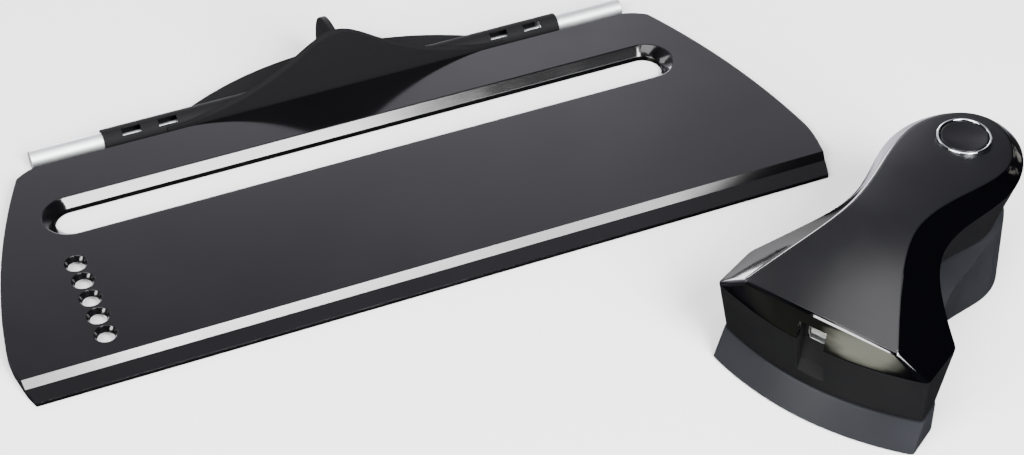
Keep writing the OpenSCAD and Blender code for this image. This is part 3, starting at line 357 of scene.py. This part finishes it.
def shade(mesh, angle):
    """Smooth faces, with edges sharper than the angle kept crisp."""
    bm = bmesh.new()
    bm.from_mesh(mesh)
    for face in bm.faces:
        face.smooth = True
    for edge in bm.edges:
        edge.smooth = not (edge.is_manifold and edge.calc_face_angle(0) > math.radians(angle))
    bm.to_mesh(mesh)
    bm.free()


def piece(name, bm, slot, body, replaced, angle, cutters=()):
    """Makes the finished object from a mesh, less the cutters, and hands it to its body."""
    bmesh.ops.recalc_face_normals(bm, faces=bm.faces)
    mesh = bpy.data.meshes.new(name)
    bm.to_mesh(mesh)
    bm.free()
    made = bpy.data.objects.new(name, mesh)
    bpy.context.scene.collection.objects.link(made)
    for cutter in cutters:
        subtract(made, cutter)
    shade(made.data, angle)
    made.data.materials.clear()
    made.data.materials.append(MATERIALS[slot])
    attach(made, body)
    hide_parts(*replaced)
    return made


def subtract(made, cutter):
    """Takes the cutter's form out of the object."""
    mesh = bpy.data.meshes.new("cutter")
    bmesh.ops.recalc_face_normals(cutter, faces=cutter.faces)
    cutter.to_mesh(mesh)
    cutter.free()
    tool = bpy.data.objects.new("cutter", mesh)
    bpy.context.scene.collection.objects.link(tool)
    cut = made.modifiers.new("cut", "BOOLEAN")
    cut.object = tool
    cut.operation = "DIFFERENCE"
    cut.solver = "EXACT"
    graph = bpy.context.evaluated_depsgraph_get()
    whole = bpy.data.meshes.new_from_object(made.evaluated_get(graph))
    made.modifiers.clear()
    made.data = whole
    bpy.data.objects.remove(tool)


def box_cutter(low, high):
    """A block in the head's frame between two corners, in millimetres."""
    low, high = Vector(low), Vector(high)
    bm = bmesh.new()
    shape = Matrix.Translation((low + high) / 2 * MM) @ Matrix.Diagonal(((high - low) * MM).to_4d())
    bmesh.ops.create_cube(bm, size=1, matrix=HEAD_PLACE @ shape)
    return bm


def round_cutter(u, v, low, high, radius):
    """An upright cylinder in the head's frame, in millimetres."""
    bm = bmesh.new()
    place = HEAD_PLACE @ Matrix.Translation((u * MM, v * MM, (low + high) / 2 * MM))
    bmesh.ops.create_cone(bm, cap_ends=True, segments=HOLE_STEPS, radius1=radius * MM,
                          radius2=radius * MM, depth=(high - low) * MM, matrix=place)
    return bm


def ease(a, b, slope_a, slope_b, run, t):
    """Smooth run from a to b with the given slopes at its ends."""
    return ((1 + 2 * t) * (1 - t) ** 2 * a + t * (1 - t) ** 2 * run * slope_a
            + t * t * (3 - 2 * t) * b + t * t * (t - 1) * run * slope_b)


def edge_round_head(corner, ear, neck, end, tip, bow, turn, climb, cut, softness):
    """A closed edge round the head, in millimetres, with its tail corners cut and softened.

    Corner, ear, neck and end are u, v and z of places on one side, and tip is v of the far end. The
    tail bulges by bow. Turn and climb are the slopes of u and z where the ear runs into the neck. Cut
    is the length taken off a corner, and softness tells how often the whole edge is smoothed.
    """
    corner, ear, neck, end = Vector(corner), Vector(ear), Vector(neck), Vector(end)
    half = []
    share = 1 - TAIL_SHARE * cut / corner.x
    for i in range(REAR_STEPS):
        t = share * i / REAR_STEPS
        half.append(Vector((corner.x * t, corner.y - bow * (1 - t * t), corner.z)))
    near = Vector((corner.x * share, corner.y - bow * (1 - share ** 2), corner.z))
    past = corner.lerp(ear, cut / (ear - corner).length)
    half += [near.lerp(past, i / CUT_STEPS) for i in range(CUT_STEPS)]
    half += [past.lerp(ear, i / EAR_STEPS) for i in range(EAR_STEPS)]
    for i in range(NECK_STEPS):
        t, run = i / NECK_STEPS, neck.y - ear.y
        half.append(Vector((ease(ear.x, neck.x, turn, 0, run, t), ear.y + run * t,
                            ease(ear.z, neck.z, climb, 0, run, t))))
    for i in range(END_STEPS):
        t, run = i / END_STEPS, end.y - neck.y
        half.append(Vector((ease(neck.x, end.x, 0, 0, run, t), neck.y + run * t,
                            ease(neck.z, end.z, 0, 0, run, t))))
    for i in range(TIP_STEPS + 1):
        a = math.pi / 2 * i / TIP_STEPS
        half.append(Vector((end.x * math.cos(a), end.y + (tip - end.y) * math.sin(a), end.z)))
    half[-1].x = 0
    ring = half + [Vector((-p.x, p.y, p.z)) for p in half[-2:0:-1]]
    for _ in range(softness):
        ring = [(ring[i - 1] + 2 * p + ring[(i + 1) % len(ring)]) / 4 for i, p in enumerate(ring)]
    return ring


def ridge(v):
    """Height of the head's top along its middle."""
    tail, top, tip = -1.8, 46, 119
    tail_z, top_z, tip_z, tail_slope = 50.9, 64.9, 57, 0.45
    if v < top:
        return ease(tail_z, top_z, tail_slope, 0, top - tail, (v - tail) / (top - tail))
    return ease(top_z, tip_z, 0, 0, tip - top, (v - top) / (tip - top))


def on_top(u, v, down=0):
    """A point of the crowned top."""
    return Vector((u, v, ridge(v) - u * u / (2 * CROWN_R) - down))


def moved(ring, inward, down=0):
    """A ring drawn inwards, square to its run, and lowered."""
    out = []
    for i, p in enumerate(ring):
        run = ring[(i + 1) % len(ring)] - ring[i - 1]
        square = Vector((-run.y, run.x, 0)).normalized()
        out.append(p + square * inward - Vector((0, 0, down)))
    return out


def between(ring_a, ring_b, share, swell=0):
    """A ring part of the way from one ring to another, swollen outwards."""
    return moved([a.lerp(b, share) for a, b in zip(ring_a, ring_b)], -swell)


def start_ring(bm, points):
    """Lays the first ring of a shell."""
    verts = [bm.verts.new(HEAD_PLACE @ (p * MM)) for p in points]
    for a, b in zip(verts, verts[1:] + verts[:1]):
        bm.edges.new((a, b))
    return verts


def grow_ring(bm, verts, points):
    """Draws the open ring out to its next place; the new ring keeps the order."""
    edges = [bm.edges.get(pair) for pair in zip(verts, verts[1:] + verts[:1])]
    made = bmesh.ops.extrude_edge_only(bm, edges=edges)["geom"]
    fresh = {g for g in made if isinstance(g, bmesh.types.BMVert)}
    ring = [next(e.other_vert(v) for e in v.link_edges if e.other_vert(v) in fresh) for v in verts]
    for vert, point in zip(ring, points):
        vert.co = HEAD_PLACE @ (point * MM)
    return ring


def close_across(bm, ring):
    """Closes a ring with lines straight across the head."""
    half = len(ring) // 2
    right, left = ring[1:half], ring[:half:-1]
    sides = [bm.edges.get(pair) for side in (right, left) for pair in zip(side, side[1:])]
    bmesh.ops.bridge_loops(bm, edges=sides)
    bmesh.ops.contextual_create(bm, geom=[ring[0], ring[1], ring[-1]])
    bmesh.ops.contextual_create(bm, geom=[ring[half], ring[half - 1], ring[half + 1]])


def loft(rings, closed_ends):
    """A shell through the rings: capped at both ends, or led back to the first ring."""
    bm = bmesh.new()
    ring = first = start_ring(bm, rings[0])
    for points in rings[1:]:
        ring = grow_ring(bm, ring, points)
    if closed_ends:
        close_across(bm, first)
        close_across(bm, ring)
    else:
        grow_ring(bm, ring, rings[0])
        bmesh.ops.remove_doubles(bm, verts=bm.verts, dist=WELD)
    return bm


# Seam between lower case and surround
BAND = edge_round_head(
    corner=(43.8, 0, 36.6), ear=(43.2, 21.3, 36.6), neck=(21, 56, 52), end=(26, 91, 52),
    tip=124.5, bow=8, turn=-1.6, climb=1.45, cut=1, softness=1)
# Edge of the top panel, seen from above and then laid on the crown
PANEL_PLAN = edge_round_head(
    corner=(31.6, -1.8, 0), ear=(26.4, 7, 0), neck=(13, 43, 0), end=(20.3, 95, 0),
    tip=119, bow=3, turn=-0.56, climb=0, cut=0.8, softness=1)
PANEL = [on_top(p.x, p.y) for p in PANEL_PLAN]
# Height of the panel at the button
BUTTON_Z = on_top(0, BUTTON_V).z
# Lower edge of the lower case
CASE = edge_round_head(
    corner=(41.8, 4.6, 12.5), ear=(41, 15.2, 12.5), neck=(16, 58, 34), end=(22, 84, 34),
    tip=112, bow=8.1, turn=-1, climb=0.3, cut=0.6, softness=3)
# Crease and foot of the base
CREASE = edge_round_head(
    corner=(42.4, 4.6, 11.8), ear=(41.6, 15.2, 11.8), neck=(25.5, 57, 32.4), end=(24.5, 86, 32.4),
    tip=115, bow=8.7, turn=-0.9, climb=0.5, cut=0.6, softness=3)
FOOT = edge_round_head(
    corner=(42.9, -1.4, 0.6), ear=(41.8, 15.2, 0.6), neck=(18.9, 62, 0.6), end=(24.6, 90, 0.6),
    tip=115.9, bow=8.1, turn=-1.3, climb=0, cut=0.6, softness=3)


def across_head(outline, half):
    """A block across the head's middle: the outline is v and z in millimetres, half its half width."""
    bm = bmesh.new()
    verts = [bm.verts.new(HEAD_PLACE @ (Vector((-half, v, z)) * MM)) for v, z in outline]
    side = bmesh.ops.contextual_create(bm, geom=verts)["faces"]
    far = bmesh.ops.extrude_face_region(bm, geom=side)["geom"]
    across = HEAD_PLACE.to_3x3() @ Vector((2 * half * MM, 0, 0))
    bmesh.ops.translate(bm, vec=across, verts=[g for g in far if isinstance(g, bmesh.types.BMVert)])
    return bm


def recess():
    """The plug's recess in the tail: level top, upright back, running out to the skin below."""
    outside, back, low, top, half = -30, -1.6, 15, 44.6, 5.6
    return across_head([(outside, low), (-5.2, low), (back, 33.3), (back, top), (outside, top)], half)


def polished_surround():
    """Glossy band from the lower case up to the bright rim round the panel, with the ledge inside."""
    low = moved(BAND, 0, -SEAM)
    # The rim falls from the panel in two narrow facets, a flat one to the bend and a steeper one
    bend_out, bend_down = 0.38, 0.24
    rim_out, rim_down = 0.98, 0.84
    rim = moved(PANEL, -SEAM - rim_out, rim_down)
    bend = moved(PANEL, -SEAM - bend_out, bend_down)
    inside = moved(PANEL, -SEAM)
    # Shares of the way up the wall, and how far it swells out there
    swells = ((0.02, 0.02), (0.05, 0.06), (0.2, 0.18), (0.4, 0.26),
              (0.6, 0.26), (0.8, 0.18), (0.94, 0.08))
    wall = [between(low, rim, share, swell) for share, swell in swells]
    crest = [between(rim, bend, share) for share in (0, 0.12, 0.9)]
    crest += [between(bend, inside, share) for share in (0.1, 0.9, 1)]
    foot = [moved(BAND, SHELL, -SEAM), moved(low, 0.3), moved(low, 0.06, -0.06)]
    under = SHELL + SEAM
    ledge = [moved(inside, 0, 0.4), moved(inside, 0, under),
             moved(PANEL, LEDGE, under), moved(PANEL, LEDGE, under + SHELL)]
    piece("polished_surround", loft(foot + wall + crest + ledge, closed_ends=False), "surround_gloss",
          "head", ["gloss_surround"], angle=28, cutters=[recess()])


def panel_ring(share, down):
    """A ring of the panel drawn in towards the head's middle."""
    middle, draw = 50, 0.3
    along = 1 - (1 - share) * draw
    return [on_top(p.x * share, middle + (p.y - middle) * along, down) for p in PANEL_PLAN]


def soft_panel():
    """Crowned soft-touch top with a rolled edge and the seat of the button's ring."""
    shares = [0.985, 0.95, 0.9, 0.8, 0.7, 0.6, 0.5, 0.4, 0.3, 0.2, 0.1]
    top = [panel_ring(share, 0) for share in reversed(shares)]
    edge = [moved(PANEL, inward, down)
            for inward, down in ((0.15, 0.02), (0.04, 0.1), (0, 0.3), (0, SHELL))]
    under = [panel_ring(share, SHELL) for share in shares[1:]]
    below, above = 30, 80
    seat = round_cutter(0, BUTTON_V, BUTTON_Z - RING_SEAT, above, RING_R + SEAM)
    sleeve_way = round_cutter(0, BUTTON_V, below, above, RING_R - RING_W / 2 + SEAM)
    piece("soft_panel", loft(top + edge + under, closed_ends=True), "panel_soft", "head", ["top_panel"],
          angle=40, cutters=[seat, sleeve_way])


def matt_lower_case():
    """Lower half of the head, drawn in towards its waist, with the nose's way and the screw wells."""
    foot = [moved(CASE, 0.5), moved(CASE, 0.12, -0.06)]
    wall = [between(CASE, BAND, share) for share in (0.02, 0.06, 0.3, 0.6, 0.9, 0.97)]
    rim = [moved(BAND, 0.03, 0.02), moved(BAND, 0.2), moved(BAND, SHELL), moved(CASE, SHELL, -SHELL)]
    nose_r, nose_top = 14.1, 37
    well_r, well_depth = 2.4, 1.4
    nose_way = round_cutter(0, NOSE_V, 0, nose_top, nose_r)
    wells = [round_cutter(u, v, 0, low + well_depth, well_r) for u, v, low in SCREW_WELLS]
    piece("matt_lower_case", loft(foot + wall + rim, closed_ends=True), "case_black", "head",
          ["lower_case"], angle=18, cutters=[recess(), nose_way] + wells)


def recess_walls():
    """Back, sides and top of the plug's recess, kept under the skin of case and surround."""
    outline = [(-3.35, 24.4), (-5.85, 36.6), (-3.5, 45.8), (-0.4, 45.8), (-0.4, 32.7), (-2, 24.4)]
    half = 6.8
    socket_way = box_cutter((-4.05, -6, 33.85), (4.05, 1, 39.35))
    # The recess walls take the grip's duller black in place of the case's own black, as painted shade
    # deep in the recess
    piece("recess_walls", across_head(outline, half), "grip_black", "head", ["recess_liner"],
          angle=8, cutters=[recess(), socket_way])


def calibration_base():
    """Base shell: flared foot, crease, shoulder up to the waist and the deck under the head."""
    deck = moved(CASE, -SEAT, SEAT)
    inside = [moved(deck, SHELL, SHELL), moved(CREASE, SHELL, SHELL), moved(FOOT, SHELL)]
    foot = [moved(FOOT, 0.3), moved(FOOT, 0.05, -0.1)]
    wall = [between(FOOT, CREASE, share) for share in (0.03, 0.1, 0.4, 0.7, 0.93, 0.98)]
    shoulder = [moved(CREASE, 0.04)] + [between(CREASE, deck, share) for share in (0.05, 0.15, 0.5, 0.9)]
    rings = inside + foot + wall + shoulder + [deck, moved(deck, 1)]
    nose_r, nose_top = 14.8, 60
    nose_way = round_cutter(0, NOSE_V, 0, nose_top, nose_r)
    piece("calibration_base", loft(rings, closed_ends=True), "base_grey", "guide", ["base_shell"],
          angle=26, cutters=[nose_way])


def spun(profile):
    """A form turned about the button's axis; the profile is radius and height in millimetres."""
    bm = bmesh.new()
    place = HEAD_PLACE @ Matrix.Translation((0, BUTTON_V * MM, 0))
    verts = [bm.verts.new(place @ Vector((r * MM, 0, z * MM))) for r, z in profile]
    edges = [bm.edges.new(pair) for pair in zip(verts, verts[1:])]
    axis = place.to_3x3() @ Vector((0, 0, 1))
    bmesh.ops.spin(bm, geom=verts + edges, cent=place.translation, axis=axis, angle=math.tau,
                   steps=TURN_STEPS, use_merge=True)
    bmesh.ops.remove_doubles(bm, verts=bm.verts, dist=WELD)
    return bm


def arc(centre, radius, start, stop, steps):
    """Points of an arc in radius and height, between two angles in degrees."""
    angles = [math.radians(start + (stop - start) * i / steps) for i in range(steps + 1)]
    return [(centre[0] + radius * math.cos(a), centre[1] + radius * math.sin(a)) for a in angles]


def chrome_ring():
    """Half-round chrome ring with the sleeve that holds the button."""
    seat, sleeve, crown = BUTTON_Z - RING_SEAT, BUTTON_Z - SHELL - SLEEVE, RING_W / 2
    middle = RING_R - crown
    rounded = arc((middle, BUTTON_Z + RING_H - crown), crown, 0, 180, 14)
    profile = [(middle - crown, sleeve), (middle, sleeve), (middle, seat), (RING_R, seat)] + rounded
    profile.append(profile[0])
    piece("chrome_ring", spun(profile), "ring_chrome", "head", ["button_ring"], angle=40)


def dished_button():
    """Button cap with a shallow dish and a rolled edge, and its flange below."""
    sunk, play = 0.2, 0.3
    edge = BUTTON_Z + RING_H - sunk
    flange = BUTTON_Z - SHELL - SLEEVE - play
    flange_r, flange_h = 9.95, 1.2
    radius, dish, roll, steps = RING_R - RING_W - play, 0.6, 0.5, 16
    bowl = [((radius - roll) * i / steps, edge - dish * (1 - (i / steps) ** 2)) for i in range(steps + 1)]
    rolled = arc((radius - roll, edge - roll), roll, 80, 0, 6)
    brim = [(radius, flange), (flange_r, flange), (flange_r, flange - flange_h), (0, flange - flange_h)]
    piece("dished_button", spun(bowl + rolled + brim), "button_black", "button", ["button_cap"], angle=40)


def merged_copy(node):
    """A copy of the node's own form as one closed skin."""
    bm = bmesh.new()
    bm.from_mesh(nodes[node].data)
    bmesh.ops.remove_doubles(bm, verts=bm.verts, dist=2 * WELD)
    bmesh.ops.dissolve_limit(bm, angle_limit=math.radians(0.3), verts=bm.verts, edges=bm.edges)
    return bm


def roll_edges(bm, edges, radius, segments):
    """Rolls the edges to a radius in millimetres."""
    bmesh.ops.bevel(bm, geom=edges, offset=radius * MM, offset_type="OFFSET", segments=segments,
                    profile=0.5, affect="EDGES", clamp_overlap=True, material=-1)


def softened(bm, rolls):
    """Rolls sharp edges: each roll is a radius in millimetres and a test of an edge's middle."""
    for radius, chosen in rolls:
        sharp = [e for e in bm.edges
                 if e.is_manifold and e.calc_face_angle(0) > math.radians(SHARP_DEGREES)
                 and chosen(*((e.verts[0].co + e.verts[1].co) / 2 / MM))]
        roll_edges(bm, sharp, radius, ROLL_STEPS)
    return bm


def weigh_normals(made):
    """Keeps broad flat faces flat beside their rolled edges."""
    modifier = made.modifiers.new("flat_faces", "WEIGHTED_NORMAL")
    modifier.keep_sharp = True
    modifier.weight = 100


def window_cutter(x):
    """A block that cuts a window of the roller's barrel at x, in millimetres along the guide."""
    bm = bmesh.new()
    turned = (Matrix.Translation((x * MM, ROD_Y * MM, ROD_Z * MM))
              @ Matrix.Rotation(math.radians(WINDOW_LEAN), 4, "X"))
    shape = (Matrix.Translation((0, 0, WINDOW_UP * MM))
             @ Matrix.Diagonal([side * MM for side in WINDOW_SIZE] + [1]))
    bmesh.ops.create_cube(bm, size=1, matrix=turned @ shape)
    return bm


def refine_front(bm):
    """Moves the plate's lip and bevel by about a millimetre, to where their long highlight shows them."""
    for v in bm.verts:
        y = v.co.y / MM
        if abs(v.co.x) > ENDS_X * MM and y < ENDS_Y:
            v.co.x -= math.copysign(ENDS_IN * MM * min(1, (ENDS_Y - y) / ENDS_RUN), v.co.x)
        for (y0, along0, up0), (y1, along1, up1) in zip(FRONT_SHIFTS, FRONT_SHIFTS[1:]):
            if y0 - 0.01 < y < y1 + 0.01:
                share = (y - y0) / (y1 - y0)
                v.co.y += (along0 + (along1 - along0) * share) * MM
                if v.co.z > UNDERSIDE * MM:
                    v.co.z += (up0 + (up1 - up0) * share) * MM
                break


def on_flare_end(x, y):
    """Whether a place, in millimetres, lies on a round end of the flare's rim."""
    return x > SLOT_END_X - 0.05 and abs(math.hypot(x - SLOT_END_X, y - SLOT_Y) - FLARE_R) < 0.1


def polished_plate():
    """The guide's plate: front refined, flare run out and edges rolled."""
    bm = merged_copy("guide_plate")
    refine_front(bm)
    for side in (-1, 1):
        ends = [v for v in bm.verts
                if v.co.z > FLARE_Z * MM and on_flare_end(v.co.x * side / MM, v.co.y / MM)]
        bmesh.ops.translate(bm, vec=Vector((FLARE_RUN_OUT * MM * side, 0, 0)), verts=ends)
    softened(bm, [
        # Upper edge of the slot's flare
        (0.35, lambda x, y, z: z > FLARE_Z and abs(y - SLOT_Y) < 11.6 and abs(x) < 137.8),
        # Lower edge of the flare
        (0.25, lambda x, y, z: 2.4 < z < 2.6 and abs(y - SLOT_Y) < 8 and abs(x) < 132.8),
        # Upper edges of the row holes
        (0.12, lambda x, y, z: z > 3.9 and abs(x - ROW_HOLE_X) < 5 and y < 15),
        # The other upper edges, outside the slot and the column of row holes
        (0.3, lambda x, y, z: z > UNDERSIDE and (abs(y - SLOT_Y) > 12 or abs(x) > 138)
         and abs(x - ROW_HOLE_X) > 5.2)])
    weigh_normals(piece("polished_plate", bm, "guide_black", "guide", ["guide_plate"], angle=50))


def matt_grip():
    """The guide's grip: edges rolled, and windows cut a little deeper so that the axle shows."""
    bm = softened(merged_copy("guide_grip"), [
        # Upper edge of the wall
        (0.3, lambda x, y, z: z > 6.3 and y < 66.7 and abs(x) < 74),
        # Fin
        (0.8, lambda x, y, z: z > 7 and y > 66.7 and abs(x) < 2),
        # Rear edge of the shelf
        (0.5, lambda x, y, z: 3 < z < 6.3 and y > 75),
        # Front edges at the ends of the wall
        (0.6, lambda x, y, z: 74.8 < abs(x) < 75.2 and y < 63.9),
        # Ends of the barrel
        (0.25, lambda x, y, z: abs(x) > 101)])
    windows = [window_cutter(x) for x in WINDOW_XS]
    grip = piece("matt_grip", bm, "grip_black", "guide", ["guide_grip"], angle=50, cutters=windows)
    weigh_normals(grip)


def turned_rod():
    """Roller rod with rolled ends."""
    bm = softened(merged_copy("roller_rod"), [(0.3, lambda x, y, z: abs(x) > 131)])
    weigh_normals(piece("turned_rod", bm, "rod_aluminium", "roller", ["roller_rod"], angle=50))


def socket_outline(width, height, cut):
    """Mouth of the data socket: square above, with its lower corners cut."""
    w, h = width / 2, height / 2
    return [(-w, h), (w, h), (w, -h * 0.1), (w - cut, -h), (cut - w, -h), (-w, -h * 0.1)]


def socket_loop(bm, outline, v):
    """Lays the outline across the head at v and gives back its edges."""
    verts = [bm.verts.new(HEAD_PLACE @ (Vector((x, v, SOCKET_Z + z)) * MM)) for x, z in outline]
    return [bm.edges.new(pair) for pair in zip(verts, verts[1:] + verts[:1])]


def socket_mouth():
    """Sheet-metal shell of the data socket, open towards the tail, with rolled corners."""
    back, front, wall = 7.2, -2.0, 0.8
    outer, inner = socket_outline(8, 5.4, 0.9), socket_outline(7.2, 4.6, 0.8)
    bm = bmesh.new()
    outer_back = socket_loop(bm, outer, back)
    outer_front = socket_loop(bm, outer, front)
    inner_front = socket_loop(bm, inner, front)
    inner_back = socket_loop(bm, inner, back - wall)
    for a, b in ((outer_back, outer_front), (outer_front, inner_front), (inner_front, inner_back)):
        bmesh.ops.bridge_loops(bm, edges=a + b)
    for loop in (outer_back, inner_back):
        bmesh.ops.contextual_create(bm, geom=loop)
    corners = [e for e in bm.edges if e.calc_face_angle(0) > 0.5]
    roll_edges(bm, corners, radius=0.12, segments=2)
    piece("socket_mouth", bm, "socket_steel", "head", ["usb_shell"], angle=40)


polished_plate()
matt_grip()
turned_rod()
polished_surround()
soft_panel()
matt_lower_case()
recess_walls()
calibration_base()
chrome_ring()
dished_button()
socket_mouth()


def pale_floor():
    """Seamless white table under the set."""
    bm = bmesh.new()
    bmesh.ops.create_grid(bm, x_segments=1, y_segments=1, size=12)
    mesh = bpy.data.meshes.new("floor")
    bm.to_mesh(mesh)
    bm.free()
    floor = bpy.data.objects.new("floor", mesh)
    bpy.context.scene.collection.objects.link(floor)
    floor.data.materials.append(finish("matt_white_table", "#f7f7f7", Roughness=0.9)[0])
    # Polished faces show the room and not the table, so reflections pass the floor by
    floor.visible_glossy = False


def soft_box(name, azimuth, elevation, distance, size, radiance, mirrored=True):
    """A soft box facing the set: azimuth runs from the front to the right; degrees and metres."""
    light = bpy.data.lights.new(name, "AREA")
    light.shape = "RECTANGLE"
    light.size, light.size_y = size
    light.energy = radiance * math.pi * size[0] * size[1]
    made = bpy.data.objects.new(name, light)
    a, e = math.radians(azimuth), math.radians(elevation)
    out = Vector((math.sin(a) * math.cos(e), -math.cos(a) * math.cos(e), math.sin(e)))
    middle_of_set = Vector((0.02, -0.06, 0))
    made.location = middle_of_set + out * distance
    made.rotation_euler = (-out).to_track_quat("-Z", "Y").to_euler()
    made.visible_glossy = mirrored
    bpy.context.scene.collection.objects.link(made)


def soft_boxes():
    """Soft boxes in front, at the left, overhead and behind."""
    soft_box("front_box", 12, 37, 2.0, (1.06, 0.46), 28)
    # A fill that polished faces don't mirror keeps the black plate dark from behind
    soft_box("front_fill", 12, 21, 2.0, (1.06, 0.62), 28, mirrored=False)
    soft_box("high_front_box", 12.5, 48, 2.0, (0.48, 0.52), 60)
    soft_box("left_box", -58, 44, 1.68, (0.95, 0.3), 40)
    soft_box("low_left_box", -74, 11, 1.72, (0.7, 0.36), 22)
    soft_box("top_box", -30, 80, 1.8, (1.1, 1.1), 7)
    soft_box("back_box", -147, 30, 1.8, (0.7, 0.6), 5)


# How bright the room is along each axis: the direction's part along the axis, and the level there
ROOM_LEVELS = {
    "X": ((-1, 0.15), (-0.6, 0.2), (-0.2, 0.7), (0.1, 0.75), (0.25, 0.95), (0.33, 1), (0.39, 0.66),
          (0.8, 0.03)),
    "Y": ((0.05, 0.05), (0.45, 1)),
    "Z": ((-0.6, 0.05), (-0.49, 0.9), (0.2, 0.9), (0.34, 0.2), (0.5, 0.25), (0.6, 0.9), (0.66, 0.5),
          (0.7, 0.26), (0.8, 0.3), (1, 0.25)),
}
ROOM_STRENGTH = 2.75
# Pale cards for the polished facets: direction, cosines where a card is full and where it ends,
# strength, colour. Two olive ones low at the left, two white ones behind, two warm ones at the right.
CARDS = (
    ((-0.803, -0.436, -0.407), 0.9985, 0.968, 9, "#dcdecb"),
    ((-0.9, -0.2, -0.387), 0.95, 0.86, 0.35, "#d8dab8"),
    ((0.156, 0.987, -0.035), 0.99, 0.976, 11, "#ffffff"),
    ((0.26, 0.907, 0.33), 0.993, 0.98, 3, "#ffffff"),
    ((0.939, 0.342, 0.02), 0.9988, 0.995, 1.8, "#fbf8ee"),
    ((0.976, 0.103, 0.19), 0.9993, 0.997, 1.4, "#fbf8ee"),
)
# How far clouds shift the edge of a card, as a cosine
CARD_CLOUDS = 0.016


def level_along(tree, part, stops):
    """The room's level along one axis, from stops of place and level."""
    across = add(tree, "ShaderNodeMapRange", {"Value": part, "From Min": -1})
    ramp = add(tree, "ShaderNodeValToRGB", {"Fac": across.outputs[0]})
    points = ramp.color_ramp.elements
    points.remove(points[1])
    for place, level in stops:
        points.new(place / 2 + 0.5).color = (level, level, level, 1)
    points.remove(points[0])
    return ramp.outputs["Color"]


def card_light(tree, way, clouds, toward, full, none, strength, colour):
    """The light of one soft-edged card in the given direction."""
    near = add(tree, "ShaderNodeVectorMath", {0: way, 1: toward}, operation="DOT_PRODUCT")
    edge = add(tree, "ShaderNodeMath", {0: clouds, 1: CARD_CLOUDS, 2: near.outputs["Value"]},
               operation="MULTIPLY_ADD")
    patch = add(tree, "ShaderNodeMapRange",
                {"Value": edge.outputs[0], "From Min": none + CARD_CLOUDS / 2,
                 "From Max": full + CARD_CLOUDS / 2, "To Max": strength}, interpolation_type="SMOOTHSTEP")
    card = add(tree, "ShaderNodeBackground", {"Color": linear(colour), "Strength": patch.outputs[0]})
    return card.outputs[0]


def pale_room():
    """A room that is pale behind the set and dark elsewhere, with the cards that facets show."""
    world = bpy.data.worlds.new("pale_room")
    world.use_nodes = True
    tree = world.node_tree
    way = add(tree, "ShaderNodeTexCoord", {}).outputs["Generated"]
    parts = add(tree, "ShaderNodeSeparateXYZ", {"Vector": way}).outputs
    strength = ROOM_STRENGTH
    for axis, stops in ROOM_LEVELS.items():
        level = level_along(tree, parts[axis], stops)
        strength = add(tree, "ShaderNodeMath", {0: level, 1: strength}, operation="MULTIPLY").outputs[0]
    room = tree.nodes["Background"]
    tree.links.new(strength, room.inputs["Strength"])
    room.inputs["Color"].default_value = linear("#f5f3ff")
    shown = room.outputs[0]
    clouds = add(tree, "ShaderNodeTexNoise", {"Vector": way, "Scale": 14, "Detail": 4}).outputs[0]
    for card in CARDS:
        light = card_light(tree, way, clouds, *card)
        shown = add(tree, "ShaderNodeAddShader", {0: shown, 1: light}).outputs[0]
    tree.links.new(shown, tree.nodes["World Output"].inputs["Surface"])
    bpy.context.scene.world = world


def photo_camera():
    """The photograph's camera, 23 degrees to the left of the front and looking 42 degrees down."""
    sensor, focal_pixels, photo_width = 36, 2434.6, 1024
    lens = bpy.data.cameras.new("photo_camera")
    lens.sensor_width = sensor
    lens.lens = sensor * focal_pixels / photo_width
    lens.clip_start, lens.clip_end = 0.05, 50
    made = bpy.data.objects.new("photo_camera", lens)
    turn, tilt = math.radians(22.97), math.radians(42.20)
    made.location = Vector((-245.1, -700.3, 649.9)) * MM
    made.rotation_euler = (math.pi / 2 - tilt, 0, -turn)
    bpy.context.scene.collection.objects.link(made)
    bpy.context.scene.camera = made


pale_floor()
soft_boxes()
pale_room()
photo_camera()
